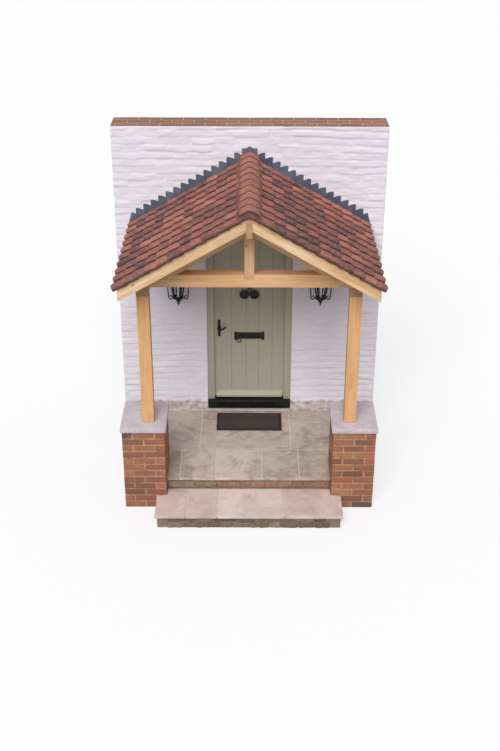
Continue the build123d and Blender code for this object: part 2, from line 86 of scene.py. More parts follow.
class Finish(Shading):
    """A material in layers: a colour, what lies over it, and its fine relief."""

    def __init__(self, name, colour, roughness, shine=0.5):
        self.material = bpy.data.materials.new(name)
        self.material.use_nodes = True
        self.material.diffuse_color = (*colour, 1)
        super().__init__(self.material.node_tree)
        self.known = {}
        self.inputs = self.tree.nodes["Principled BSDF"].inputs
        plain = (("Base Color", colour), ("Roughness", roughness), ("Specular IOR Level", shine))
        for socket, value in plain:
            self.feed(self.inputs[socket], value)

    def carried(self, attribute):
        """A vector that each point of the mesh carries."""
        return self.add("Attribute", attribute_name=attribute).outputs["Vector"]

    def apart(self, vector):
        return self.add("SeparateXYZ", vector).outputs

    def place(self, stretch=(1, 1, 1), attribute=None):
        """Where a point lies in metres, on the object or in its own timber, stretched along each axis."""
        source = self.carried(attribute) if attribute else self.add("TexCoord").outputs["Object"]
        return self.add("Mapping", source, Scale=stretch).outputs[0]

    def cloudy(self, scale, detail=4, roughness=0.55, distortion=0, stretch=(1, 1, 1), attribute=None):
        """A soft random pattern from 0 to 1."""
        return self.add(
            "TexNoise", self.place(stretch, attribute), Scale=scale, Detail=detail, Roughness=roughness,
            Distortion=distortion,
        ).outputs[0]

    def pattern(self, given):
        """A socket as it is, a part of each point's tone by its letter, or cloudy's own values."""
        if isinstance(given, bpy.types.NodeSocket):
            return given
        if given not in self.known:
            tone = isinstance(given, str)
            self.known[given] = self.apart(self.carried("tone"))[given] if tone else self.cloudy(*given)
        return self.known[given]

    def spread(self, given, low, high, to_low=0, to_high=1):
        """The values of a pattern from low to high over another range, and held there."""
        return self.add("MapRange", self.pattern(given), low, high, to_low, to_high).outputs[0]

    def tint(self, factor, first, second):
        """One colour laid over another by a factor."""
        made = self.add("Mix", factor, data_type="RGBA")
        self.feed(made.inputs[6], first)
        self.feed(made.inputs[7], second)
        return made.outputs[2]

    def palette(self, given, *colours):
        """A run of colours, evenly spaced along a pattern from 0 to 1."""
        made = self.add("ValToRGB", self.pattern(given))
        stops = made.color_ramp.elements
        while len(stops) < len(colours):
            stops.new(0.5)
        for index, colour in enumerate(colours):
            stops[index].position = index / (len(colours) - 1)
            stops[index].color = (*colour, 1)
        return made.outputs["Color"]

    def paint(self, colour, *covers):
        """Lay covers over a colour: the pattern, where it begins and is full, how strong, and the colour."""
        for pattern, low, high, most, over in covers:
            colour = self.tint(self.spread(pattern, low, high, 0, most), colour, over)
        self.feed(self.inputs["Base Color"], colour)
        return colour

    def relief(self, given, depth, strength=1.0):
        """Fine surface roughness, depth metres from its lowest to its highest point."""
        bump = self.add("Bump", Strength=strength, Distance=depth)
        self.feed(bump.inputs["Height"], self.pattern(given))
        self.feed(self.inputs["Normal"], bump.outputs["Normal"])

    def layered(self, coarse, fine, share):
        """A coarse pattern with a share of a fine one on it."""
        return self.reckon("ADD", self.pattern(coarse), self.reckon("MULTIPLY", self.pattern(fine), share))


def coated(name, plain, roughness, base, *covers, rough=None, shine=0.5):
    """A finish of covers over one colour, or over the colour that each point's tone picks from a list."""
    finish = Finish(name, plain, roughness, shine)
    finish.paint(finish.palette("X", *base) if isinstance(base, list) else base, *covers)
    if rough:
        height, *depths = rough
        finish.relief(finish.layered(*height) if isinstance(height, list) else height, *depths)
    return finish


def put(name, data):
    """A new object in the scene."""
    made = bpy.data.objects.new(name, data)
    bpy.context.scene.collection.objects.link(made)
    return made


def make_piece(name, form, finishes, stands_for=(), body="porch", smooth=None, **vectors):
    """Mesh, finishes, a vector or more for each point, and the CAD body that the piece rides on."""
    mesh = bpy.data.meshes.new(name)
    if isinstance(form, bmesh.types.BMesh):
        form.to_mesh(mesh)
        form.free()
    else:
        points, faces = form
        mesh.from_pydata(points, [], faces)
    for finish in finishes if isinstance(finishes, list) else [finishes]:
        mesh.materials.append(finish.material)
    for key, values in vectors.items():
        attribute = mesh.attributes.new(key, "FLOAT_VECTOR", "POINT")
        attribute.data.foreach_set("vector", [part for value in values for part in value])
    if smooth:
        mesh.shade_smooth()
        mesh.set_sharp_from_angle(angle=radians(smooth))
    piece = put(name, mesh)
    if stands_for:
        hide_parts(*stands_for)
    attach(piece, body)
    return piece


def spans(*stops):
    """Each pair of neighbours in a row of stops."""
    return zip(stops, stops[1:])


def even_lines(cell, *stops):
    """Grid lines about one cell apart that pass through every stop."""
    lines = [stops[0]]
    for near, far in spans(*stops):
        count = max(1, round((far - near) / cell))
        lines += [near + (far - near) * (step + 1) / count for step in range(count)]
    return lines


def boxed(points, cells, to_back):
    """Close a sheet of cells with sides and a flat back. Gives the rim's points and all the faces."""
    edges = {(cell[k], cell[(k + 1) % 4]) for cell in cells for k in range(4)}
    follow = {a: b for a, b in edges if (b, a) not in edges}
    rim = [min(follow)]
    while follow[rim[-1]] != rim[0]:
        rim.append(follow[rim[-1]])
    first, count = len(points), len(rim)
    points += [to_back(points[k]) for k in rim]
    sides = [(rim[(k + 1) % count], rim[k], first + k, first + (k + 1) % count) for k in range(count)]
    return rim, cells + sides + [tuple(range(first + count - 1, first - 1, -1))]


course = 0.075
wall_brick = 0.225
bed_joint, bed_depth = 0.018, 0.0054
end_joint, end_depth = 0.014, 0.0022
wall_cell, inner_cell = 0.0106, 0.022
wall_crest, wall_base = 0.0026, 0.0088
lumpiness, brick_lean, brick_tip = 0.0034, 0.0034, 0.006
made_good = 0.02
paint_white = (0.8, 0.755, 0.825)

left_low, left_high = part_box("wall_left")
over_low, over_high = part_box("wall_over_door")
wall_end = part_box("wall_right")[1].x
wall_front, wall_back = left_low.y, left_high.y
landing_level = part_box("landing_flags")[1].z
lantern_low, lantern_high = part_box("right_lantern")
lantern_x = (lantern_low.x + lantern_high.x) / 2


def held(value):
    return min(1, max(0, value))


def wavy(x, y, z):
    """A smooth random value at a place."""
    return noise.noise(Vector((x, y, z)))


def rough_face(x, z):
    """How far the painted brickwork stands out from the plane of its face."""
    sway = wavy(x * 1.1, z * 0.8, 3.1) * 0.03
    sway += wavy(x * 5.3, z * 2.1, 9.4) * 0.011
    row, up = divmod(z + sway, course)
    shift = 0.5 * (row % 2) + 0.35 * wavy(row * 3.7, 0.5, 0.5)
    number, along = divmod(x / wall_brick + shift, 1)
    worn = 0.55 + 0.9 * wavy(x * 2.2, z * 3.1, 5.5)
    bed = min(1, min(up, course - up) / bed_joint)
    end = min(1, min(along, 1 - along) * wall_brick / end_joint)
    bed = 1 - (1 - bed * bed * (3 - 2 * bed)) * min(1, max(0.15, worn))
    end = end * end * (3 - 2 * end)
    lean = noise.cell(Vector((number + 0.5, row + 0.5, 1.5)))
    tip = noise.cell(Vector((number + 0.5, row + 0.5, 7.5))) - 0.5
    lumps = noise.fractal(Vector((x * 6, z * 19, 0.3)), 0.8, 2.1, 4) * lumpiness
    out = lean * brick_lean + tip * (up / course - 0.5) * brick_tip
    height = bed * bed_depth + end * end_depth + bed * out
    return min(wall_crest, height + lumps - wall_base)


def front_face(x, z):
    """The same, made good flat behind each lantern's backplate."""
    beside = abs(abs(x) - lantern_x) - 2 * made_good
    above = max(lantern_low.z + 3 * made_good - z, z - lantern_high.z + made_good)
    return rough_face(x, z) * min(1, max(0, beside, above) / made_good)


def wall_leaf(cell, face, rear, rough):
    """Half the thickness of the bay as a closed shell: a rough face with the doorway left out."""
    half, top = over_high.x, over_low.z
    across = even_lines(cell, left_low.x, -half, half, wall_end)
    up = even_lines(cell, 0.0, top, over_high.z)
    way = 1 if rear > face else -1
    index, points, cells = {}, [], []
    for j, i in product(range(len(up) - 1), range(len(across) - 1)):
        if abs(across[i] + across[i + 1]) < 2 * half and up[j] + up[j + 1] < 2 * top:
            continue
        corners = [(i, j), (i + 1, j), (i + 1, j + 1), (i, j + 1)]
        for corner in corners:
            if corner not in index:
                index[corner] = len(points)
                x, z = across[corner[0]], up[corner[1]]
                points.append((x, face - way * rough(x, z), z))
        cells.append(tuple(index[corner] for corner in corners))
    rim, faces = boxed(points, cells, lambda point: (point[0], rear, point[2]))
    kinds = [0] * len(cells)
    for a, b in spans(*rim, rim[0]):
        beside = abs(points[a][0] + points[b][0]) > 2 * half + 0.002
        kinds.append(1 if beside or points[a][2] + points[b][2] > 2 * top + 0.002 else 0)
    return points, [corners[::way] for corners in faces], kinds + [1], len(cells)


painted_brick = Finish("painted_brick", paint_white, 0.72)
white = painted_brick.paint(
    paint_white,
    ((2.3, 5, 0.6), 0.42, 0.75, 1, (0.75, 0.715, 0.785)),
    ((1.6, 4, 0.6, 0, (3, 3, 24)), 0.56, 0.8, 0.55, (0.6, 0.565, 0.63)),
    ((3.0, 5, 0.75, 0, (9, 9, 26)), 0.62, 0.8, 0.5, (0.5, 0.47, 0.52)),
)
ragged = painted_brick.reckon("MULTIPLY", painted_brick.cloudy(9, 5, 0.7), 0.17)
level = painted_brick.reckon("SUBTRACT", painted_brick.apart(painted_brick.place())["Z"], ragged)
bare = painted_brick.palette(
    painted_brick.spread((13, 4, 0.7), 0.32, 0.66),
    (0.3, 0.24, 0.22), (0.47, 0.4, 0.38), (0.6, 0.53, 0.52), (0.71, 0.655, 0.665),
)
painted_brick.paint(bare, (level, landing_level + 0.03, landing_level + 0.055, 1, white))
painted_brick.relief((75, 6, 0.68), 0.003, 0.8)

cut_brick = Finish("cut_brick", (0.3, 0.13, 0.08), 0.85)
x, y, z = cut_brick.apart(cut_brick.place())
facing = cut_brick.apart(cut_brick.add("NewGeometry").outputs["Normal"])["Z"]
level_face = cut_brick.reckon("GREATER_THAN", cut_brick.reckon("ABSOLUTE", facing), 0.7)
laid = cut_brick.add("Mix", level_face, data_type="VECTOR")
on_end = cut_brick.reckon("MULTIPLY", y, course / 0.113)
for socket, pair in ((4, (y, z)), (5, (x, on_end))):
    cut_brick.feed(laid.inputs[socket], cut_brick.add("CombineXYZ", *pair).outputs[0])
bond = cut_brick.add(
    "TexBrick", laid.outputs[1], Color1=(0.37, 0.15, 0.09, 1), Color2=(0.23, 0.1, 0.07, 1),
    Mortar=(0.5, 0.44, 0.36, 1), Scale=1.0, Brick_Width=0.226, Row_Height=course, Mortar_Size=0.005,
    Mortar_Smooth=0.3,
)
cut_brick.paint(bond.outputs["Color"], ((16, 5, 0.7), 0.4, 0.7, 0.6, (0.22, 0.13, 0.09)))
cut_brick.relief(cut_brick.reckon("SUBTRACT", cut_brick.cloudy(60, 5), bond.outputs["Fac"]), 0.004)

points, faces, kinds, smoothed = [], [], [], []
for cell, face, rough in (
    (wall_cell, wall_front, front_face),
    (inner_cell, wall_back - wall_crest, lambda x, z: rough_face(x + 7, z)),
):
    leaf, leaf_faces, leaf_kinds, cells = wall_leaf(cell, face, (wall_front + wall_back) / 2, rough)
    faces += [tuple(len(points) + corner for corner in corners) for corners in leaf_faces]
    points += leaf
    kinds += leaf_kinds
    smoothed += [k < cells for k in range(len(leaf_faces))]
wall = make_piece(
    "painted_wall", (points, faces), [painted_brick, cut_brick], ["wall_left", "wall_right", "wall_over_door"]
)
wall.data.polygons.foreach_set("material_index", kinds)
wall.data.polygons.foreach_set("use_smooth", smoothed)

sill_stone = coated(
    "sill_stone", (0.56, 0.48, 0.47), 0.85, (0.4, 0.33, 0.31), ((14, 5, 0.7), 0, 1, 1, (0.72, 0.66, 0.66)),
    rough=((50, 5), 0.003),
)
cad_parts["wall_under_door"].data.materials.clear()
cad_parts["wall_under_door"].data.materials.append(sill_stone.material)


# Landing
# Riven sandstone flags of mixed sizes on a bed of mortar, over a riser of rough stone and old brick.
# They run between the piers and out behind them, and their front edges overhang the riser a little.
def block_points(low, high, arris):
    """The three points at each of the eight corners of a block with its arrises taken off."""
    points = []
    for corner, axis in product(product((0, 1), repeat=3), range(3)):
        insets = [0 if n == axis else arris for n in range(3)]
        points.append(Vector([high[n] - insets[n] if corner[n] else low[n] + insets[n] for n in range(3)]))
    return points


def block_faces():
    """The faces of such a block, each found by the way that it looks."""
    points, faces = block_points((0, 0, 0), (1, 1, 1), 0.1), []
    for look in product((-1, 0, 1), repeat=3):
        if any(look):
            out = Vector(look).normalized()
            reach = max(point.dot(out) for point in points) - 0.00001
            ring = [k for k, point in enumerate(points) if point.dot(out) > reach]
            middle = sum((points[k] for k in ring), Vector()) / len(ring)
            side = points[ring[0]] - middle
            up = out.cross(side)
            ring.sort(key=lambda k: atan2((points[k] - middle).dot(up), (points[k] - middle).dot(side)))
            faces.append(tuple(ring))
    return faces


worn_faces = block_faces()


class Shape:
    """Points and faces gathered into one mesh, with a tone for each point."""

    def __init__(self):
        self.points, self.faces, self.tones = [], [], []

    def gather(self, points, faces, tone):
        """Add points and the faces between them; the tone is one for all, or a list."""
        first = len(self.points)
        self.points += points
        self.faces += [tuple(first + corner for corner in face) for face in faces]
        self.tones += tone if isinstance(tone, list) else [tone] * len(points)

    def block(self, low, high, arris, tone=(0, 0, 0), warp=0.0, turn=None):
        """A block with its arrises taken off, warped a little and turned into place."""
        points, way = block_points(low, high, arris), 1
        if warp:
            shift = Vector((tone[0] * 40, tone[1] * 40, 0))
            points = [p + warp * noise.noise_vector(p * 9 + shift) for p in points]
        if turn:
            points = [turn @ p for p in points]
            way = 1 if turn.determinant() > 0 else -1
        self.gather(points, [face[::way] for face in worn_faces], tone)

    def rings(self, rings, tone=(0.5, 0.5, 0), way=1, closed=False):
        """A skin over rings of points that follow one another, and over both ends."""
        count, sides, faces = len(rings), len(rings[0]), []
        for n, k in product(range(count if closed else count - 1), range(sides)):
            a, b = n * sides + k, n * sides + (k + 1) % sides
            on = sides if n < count - 1 else -n * sides
            faces.append((a, b, b + on, a + on)[::way])
        if not closed:
            faces += [tuple(range(sides))[::-way], tuple(range((count - 1) * sides, count * sides))[::way]]
        self.gather([point for ring in rings for point in ring], faces, tone)

    def take(self, shell, tone):
        """Take over a shell and free it."""
        shell.verts.index_update()
        faces = [[vert.index for vert in face.verts] for face in shell.faces]
        self.gather([vert.co.copy() for vert in shell.verts], faces, tone)
        shell.free()

    def piece(self, name, finish, stands_for=(), body="porch", smooth=None, **vectors):
        form = self.points, self.faces
        return make_piece(name, form, finish, stands_for, body, smooth, tone=self.tones, **vectors)


def ease(shell, edges, arris, clamp=False):
    """Round the arrises at these edges."""
    bmesh.ops.bevel(
        shell, geom=edges, offset=arris, segments=2, profile=0.5, affect="EDGES", clamp_overlap=clamp
    )


def cut_across(shell, place, normal):
    """New edges all round a shell where a plane meets it."""
    everything = shell.verts[:] + shell.edges[:] + shell.faces[:]
    bmesh.ops.bisect_plane(shell, geom=everything, plane_co=place, plane_no=normal)


def laid_slab(shape, outline, z0, z1, joint, arris, spacing, uneven, tone):
    """A slab with the given outline less half a joint all round, arrises worn and top riven."""
    inset, count = [], len(outline)
    for k in range(count):
        before, here, after = (Vector(outline[n % count]) for n in (k - 1, k, k + 1))
        into, away = (Vector((p.y - q.y, q.x - p.x)).normalized() for p, q in ((before, here), (here, after)))
        inset.append(here + (into + away) * (joint / 2) / (1 + into.dot(away)))
    shell = bmesh.new()
    lower, upper = ([shell.verts.new((x, y, z)) for x, y in inset] for z in (z0, z1))
    shell.faces.new(lower[::-1])
    shell.faces.new(upper)
    for k in range(count):
        after = (k + 1) % count
        shell.faces.new((lower[k], lower[after], upper[after], upper[k]))
    ease(shell, shell.edges[:], arris)
    for axis in (0, 1):
        near, far = (end(point[axis] for point in inset) for end in (min, max))
        for at in even_lines(spacing, near, far)[1:-1]:
            cut_across(shell, (at * (1 - axis), at * axis, 0), (1 - axis, axis, 0))
    shell.normal_update()
    offset = Vector((tone[0] * 31, tone[1] * 17, 2.3))
    for vert in shell.verts:
        riven = noise.fractal(Vector((vert.co.x * 7, vert.co.y * 12, 0)) + offset, 0.9, 2.2, 4)
        if vert.normal.z > 0.5:
            vert.co.z += (min(0.6, max(-0.8, riven)) - 0.6) * uneven
        else:
            vert.co += Vector((vert.normal.x, vert.normal.y, 0)) * (riven - 0.5) * uneven
    shape.take(shell, tone)


def square(x0, x1, y0, y1):
    return [(x0, y0), (x1, y0), (x1, y1), (x0, y1)]


flag_joint = 0.008
flag_wear = 0.001
flag_riven = 0.0026
bed_drop = 0.006
bed_arris = 0.002
riser_setback = 0.015
cross_joint = -0.0515
back_joints = (-0.53, 0.449)
front_joints = (-0.716, -0.35, 0.134, 0.52)

swirl, fine = (4.6, 6, 0.7, 2.2, (1, 1.7, 1)), (48, 5, 0.7)
flagstone = coated(
    "flagstone", (0.48, 0.4, 0.36), 0.8,
    [(0.38, 0.315, 0.265), (0.47, 0.39, 0.335), (0.54, 0.45, 0.395), (0.64, 0.535, 0.49)],
    ((2.6, 7, 0.66, 1.4), 0.44, 0.64, 0.85, (0.29, 0.245, 0.225)),
    (swirl, 0.5, 0.68, 0.8, (0.68, 0.565, 0.51)),
    ((3.3, 4, 0.6, 1.0), 0.55, 0.75, 0.45, (0.42, 0.29, 0.18)), (fine, 0.42, 0.7, 0.28, (0.26, 0.21, 0.19)),
    rough=([swirl, fine, 0.35], 0.005, 0.8),
)
bedding = coated(
    "bedding_mortar", (0.5, 0.44, 0.38), 0.9, (0.76, 0.67, 0.59), ((25, 5), 0, 1, 1, (0.52, 0.44, 0.38)),
    rough=((120, 4), 0.002),
)

flag_low, flag_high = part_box("landing_flags")
pier_low, pier_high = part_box("left_pier")
wing = flag_high.x
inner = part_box("right_pier")[0].x
pier_back = pier_high.y


def crooked(x, y):
    """No two flags were cut quite square: each corner of the pattern is a few millimetres out."""
    return x + 0.005 * wavy(x * 9, y * 9, 1), y + 0.004 * wavy(x * 9, y * 9, 8)


seed(11)
flags = Shape()
outlines = [square(x0, x1, cross_joint, flag_high.y) for x0, x1 in spans(-wing, *back_joints, wing)]
outlines += [square(x0, x1, flag_low.y, cross_joint) for x0, x1 in spans(-inner, *front_joints, inner)]
outlines += [square(x0, x1, pier_back, cross_joint) for x0, x1 in ((-wing, -inner), (inner, wing))]
for outline in outlines:
    top = flag_high.z - flag_wear - uniform(0, 0.001)
    tone = (random(), random(), 0)
    corners = [crooked(x, y) if abs(x) < inner - 0.01 else (x, y) for x, y in outline]
    laid_slab(flags, corners, flag_low.z, top, flag_joint, 0.004, 0.026, flag_riven, tone)
flags.piece("landing_flags_laid", flagstone, ["landing_flags"], smooth=45)
bed = Shape()
bed_top = flag_high.z - bed_drop
riser_y = flag_low.y + riser_setback
bed.block((-inner, riser_y, flag_low.z), (inner, pier_back + 0.003, bed_top), bed_arris)
bed.block((-wing, pier_back, flag_low.z), (wing, flag_high.y, bed_top - 0.0005), bed_arris)
bed.piece("flag_joint_mortar", bedding)


# Lower step and the masonry under both
# Paler slabs of the same stone, thin at the edge, on a low wall of rough dark stones. The riser under
# the landing is rough stone at the left and old bricks at the right, packed up with thin flat pieces.
step_joints = (-0.633, -0.315, 0.353)
slab_tones = (0.3, 0.42, 0.95, 0.5)
step_joint = 0.006
bricks_from = -0.4
stone_gap = 0.002
front_depth, side_depth = 0.12, 0.09
stone_setback = 0.015
core_setback = 0.012
front_inset = 0.17

drift, fine = (2.4, 6, 0.62, 1.0), (55, 5, 0.7)
step_stone = coated(
    "step_stone", (0.62, 0.5, 0.46), 0.78,
    [(0.6, 0.455, 0.395), (0.66, 0.515, 0.465), (0.73, 0.59, 0.555), (0.79, 0.66, 0.63)],
    (drift, 0.42, 0.66, 0.75, (0.46, 0.36, 0.32)), ((4.1, 5, 0.6, 1.2), 0.48, 0.7, 0.7, (0.77, 0.645, 0.615)),
    (fine, 0.42, 0.68, 0.25, (0.4, 0.32, 0.28)), rough=([drift, fine, 0.4], 0.004, 0.8),
)

rubble = Finish("rubble_stone", (0.2, 0.14, 0.1), 0.9)
stones = rubble.palette(
    "X", (0.065, 0.055, 0.046), (0.19, 0.135, 0.095), (0.3, 0.21, 0.14), (0.13, 0.105, 0.085),
    (0.36, 0.27, 0.19),
)
old_bricks = rubble.palette("Y", (0.3, 0.13, 0.085), (0.4, 0.21, 0.14), (0.25, 0.12, 0.085))
lumps = (34, 6, 0.7)
rubble.paint(
    rubble.tint(rubble.pattern("Z"), stones, old_bricks), (lumps, 0.35, 0.7, 0.6, (0.1, 0.075, 0.055)),
    ((19, 5, 0.7), 0.56, 0.76, 0.35, (0.5, 0.4, 0.31)), ((7, 4), 0.52, 0.75, 0.6, (0.085, 0.078, 0.045)),
)
rubble.relief(lumps, 0.007)
earthy_mortar = coated(
    "earthy_mortar", (0.2, 0.16, 0.12), 0.92, (0.38, 0.31, 0.24), ((22, 5), 0, 1, 1, (0.09, 0.07, 0.05)),
    rough=((90, 4), 0.004),
)


def rough_stone(shape, low, high, corner, uneven, tone):
    """A broken stone: a block with worn corners, cut into cells, pulled out of square and made lumpy."""
    shell = bmesh.new()
    low, high = Vector(low), Vector(high)
    lay = Matrix.Translation((low + high) / 2) @ Matrix.Diagonal((*(high - low), 1))
    bmesh.ops.create_cube(shell, size=1, matrix=lay)
    offset = Vector((tone[0] * 31, tone[1] * 17, 2.3))
    for vert in shell.verts:
        vert.co += noise.noise_vector(vert.co * 13 + offset) * corner * 0.6
    ease(shell, shell.edges[:], corner)
    long_edges = [edge for edge in shell.edges if edge.calc_length() > 2.0 * corner]
    bmesh.ops.subdivide_edges(shell, edges=long_edges, cuts=4, use_grid_fill=True)
    bmesh.ops.recalc_face_normals(shell, faces=shell.faces[:])
    shell.normal_update()
    for vert in shell.verts:
        vert.co += vert.normal * (noise.fractal(vert.co * 21 + offset, 0.8, 2.2, 3) - 0.45) * uneven
        vert.co.z = max(0.0, vert.co.z)
    shape.take(shell, tone)


def stone_course(shape, x0, x1, y_front, depth, z0, z1, shortest, longest, red_from=2.0):
    """Rough stones side by side. Past red_from they are old bricks instead."""
    x = x0
    while x < x1 - 0.02:
        red = x > red_from
        end = min(x + (uniform(0.1, 0.17) if red else uniform(shortest, longest)), x1)
        if x1 - end < shortest * 0.5:
            end = x1
        tone = (random(), random(), 1.0 if red and random() < 0.8 else 0.0)
        low = (x + stone_gap, y_front + uniform(0, 0.01), z0 + stone_gap / 2)
        high = (end - stone_gap, y_front + depth, z1 - stone_gap / 2)
        rough_stone(shape, low, high, min(0.01, (z1 - z0) * 0.2), 0.003 if red else 0.007, tone)
        x = end


def side_course(shape, edge, y0, y1, z0, z1):
    """Rough stones along a side that faces left or right."""
    y = y0
    while y < y1 - 0.04:
        end = min(y + uniform(0.09, 0.24), y1)
        if y1 - end < 0.05:
            end = y1
        near, far = (edge, edge + side_depth) if edge < 0 else (edge - side_depth, edge)
        low, high = (near, y + stone_gap, z0 + stone_gap / 2), (far, end - stone_gap, z1 - stone_gap / 2)
        rough_stone(shape, low, high, 0.01, 0.006, (random(), random(), 0.0))
        y = end


slab_low, slab_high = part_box("lower_step_slab")
masonry_low, masonry_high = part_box("step_masonry")
pier_front = pier_low.y
seed(19)
noise.seed_set(19)
slabs = Shape()
side = slab_high.x
for (x0, x1), shade in zip(spans(-side, *step_joints, side), slab_tones):
    outline = square(x0, x1, slab_low.y, riser_y)
    if x0 == -side:
        outline = outline[:3] + [(-inner, riser_y), (-inner, pier_front), (x0, pier_front)]
    if x1 == side:
        outline = outline[:2] + [(x1, pier_front), (inner, pier_front), (inner, riser_y), (x0, riser_y)]
    top = slab_high.z - flag_wear - uniform(0, 0.001)
    laid_slab(slabs, outline, slab_low.z, top, step_joint, 0.005, 0.028, flag_riven, (shade, random(), 0))
slabs.piece("lower_step_laid", step_stone, ["lower_step_slab"], smooth=45)
bed = Shape()
bed_top = slab_high.z - bed_drop
bed.block((-side + 0.02, slab_low.y + 0.02, slab_low.z), (side - 0.02, pier_front - 0.01, bed_top), bed_arris)
bed.block((-inner, pier_front - 0.013, slab_low.z), (inner, riser_y, bed_top - 0.0005), bed_arris)
bed.piece("step_joint_mortar", bedding)

seed(23)
stones = Shape()
split = slab_high.z + (flag_low.z - slab_high.z) * 0.76
stone_course(stones, -inner, inner, riser_y, 0.1, slab_high.z, split, 0.12, 0.3, bricks_from)
stone_course(stones, -inner, inner, riser_y, 0.09, split, flag_low.z, 0.08, 0.22)
foot_top = slab_low.z
slab_front = masonry_low.y + front_depth
slab_side, wing_side = side - stone_setback, wing - stone_setback
front = (masonry_low.x + front_inset, masonry_high.x - front_inset, masonry_low.y, front_depth)
for low, high in ((0.0, 0.56), (0.56, 1.0)):
    stone_course(stones, *front, foot_top * low, foot_top * high, 0.07, 0.26)
for side in (-1, 1):
    for low, high in ((0.0, 0.45), (0.45, 1.0)):
        side_course(stones, side * slab_side, slab_front, pier_front, foot_top * low, foot_top * high)
    for low, high in ((0.0, 0.26), (0.26, 0.58), (0.58, 0.8), (0.8, 1.0)):
        side_course(stones, side * wing_side, pier_back, masonry_high.y, flag_low.z * low, flag_low.z * high)
stones.piece("step_rubble", rubble, smooth=60)
core = Shape()
for half, y0, y1, z0, z1 in (
    (slab_side - core_setback, masonry_low.y + 0.018, pier_front, 0, slab_low.z),
    (inner, pier_front, masonry_high.y, 0, slab_low.z),
    (inner, riser_y + 0.014, masonry_high.y, slab_low.z, flag_low.z),
    (wing_side - core_setback, pier_back, masonry_high.y, 0, flag_low.z),
):
    core.block((-half, y0, z0), (half, y1, z1), bed_arris)
core.piece("step_core", earthy_mortar, ["step_masonry"])


# Brick piers
# Two piers of handmade orange bricks in pale lime mortar, two stretchers wide and two and a half bricks
# deep, with the bond turned at each course. A pale slab caps each one.
pier_courses = 12
brick_joint = 0.01
brick_arris = 0.0042
brick_wander = 0.0018
brick_warp = 0.002
brick_shy = 0.002
mortar_recess = 0.0065
stretcher, header = 2.1, 1.0

pier_brick = coated(
    "pier_brick", (0.33, 0.13, 0.07), 0.88,
    [(0.125, 0.066, 0.055), (0.22, 0.088, 0.058), (0.33, 0.12, 0.062), (0.41, 0.16, 0.076),
     (0.48, 0.215, 0.105), (0.4, 0.125, 0.066)],
    ((19, 5, 0.65), 0.4, 0.7, 0.65, (0.17, 0.085, 0.06)), ((27, 6, 0.7), 0.55, 0.76, 0.45, (0.5, 0.29, 0.18)),
    ((2.6, 4), 0.52, 0.74, 0.35, (0.13, 0.085, 0.055)), rough=((75, 6, 0.7), 0.004),
)
lime_mortar = coated(
    "lime_mortar", (0.5, 0.38, 0.28), 0.92, (0.54, 0.37, 0.25),
    ((17, 6, 0.7), 0.34, 0.66, 1, (0.27, 0.165, 0.1)), rough=((110, 5), 0.003),
)


def course_cuts(low, high, sizes):
    """Where the bricks of one course start and end along a face, with joints between them."""
    scale = (high - low - brick_joint * (len(sizes) - 1)) / sum(sizes)
    cuts, at = [], low
    for size in sizes:
        cuts.append((at, at + size * scale))
        at += size * scale + brick_joint
    return cuts


cap_low, cap_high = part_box("pier_caps")
for pier, draw in (("left_pier", 5), ("right_pier", 8)):
    low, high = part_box(pier)
    seed(draw)
    bricks = Shape()
    pitch = (high.z - low.z) / pier_courses
    skin = (high.x - low.x - brick_joint) / 4 - brick_joint / 2
    past = skin + brick_joint
    for row in range(pier_courses):
        z0, z1 = low.z + row * pitch + brick_joint / 2, low.z + (row + 1) * pitch - brick_joint / 2
        if row % 2 == 0:
            along = course_cuts(low.x, high.x, (stretcher, stretcher))
            deep = course_cuts(low.y + past, high.y - past, (stretcher, header))
        else:
            along = [(low.x + past, high.x - past)]
            deep = course_cuts(low.y, high.y, (stretcher, stretcher, header))
        fronts = [(*run, *ends) for run in along for ends in ((low.y, low.y + skin), (high.y - skin, high.y))]
        flanks = [(*ends, *run) for run in deep for ends in ((low.x, low.x + skin), (high.x - skin, high.x))]
        for x0, x1, y0, y1 in fronts + flanks if row % 2 == 0 else flanks + fronts:
            wander = [uniform(-brick_wander, brick_wander) for _ in range(4)]
            colour = held(gauss(0.52, 0.27))
            bricks.block(
                (x0 + brick_shy + wander[0], y0 + brick_shy + wander[1], z0 + wander[2]),
                (x1 - brick_shy + wander[0], y1 - brick_shy + wander[1], z1 + wander[3]),
                brick_arris, (colour, random(), random()), brick_warp,
            )
    bricks.piece(f"{pier}_bricks", pier_brick, [pier], smooth=30)
    inside = Shape()
    recess = Vector((mortar_recess, mortar_recess, 0))
    inside.block(low + recess, high - recess, bed_arris)
    inside.piece(f"{pier}_mortar", lime_mortar)

drift, fine = (7, 6, 0.68, 0.8), (60, 5, 0.7)
cap_stone = coated(
    "cap_stone", (0.52, 0.46, 0.49), 0.8, (0.68, 0.6, 0.66), (drift, 0.34, 0.68, 1, (0.5, 0.44, 0.485)),
    (fine, 0.42, 0.7, 0.45, (0.33, 0.29, 0.31)), ((11, 5, 0.7, 0.5), 0.6, 0.74, 0.45, (0.34, 0.33, 0.25)),
    rough=([drift, fine, 0.5], 0.003, 0.8),
)
caps = Shape()
overhang = pier_low.x - cap_low.x
for low, high in (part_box("left_pier"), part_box("right_pier")):
    outline = square(low.x - overhang, high.x + overhang, low.y - overhang, high.y + overhang)
    tone = (random(), random(), 0)
    laid_slab(caps, outline, high.z, cap_high.z - flag_wear, 0.001, 0.007, 0.03, 0.002, tone)
caps.piece("pier_caps_cast", cap_stone, ["pier_caps"], smooth=40)


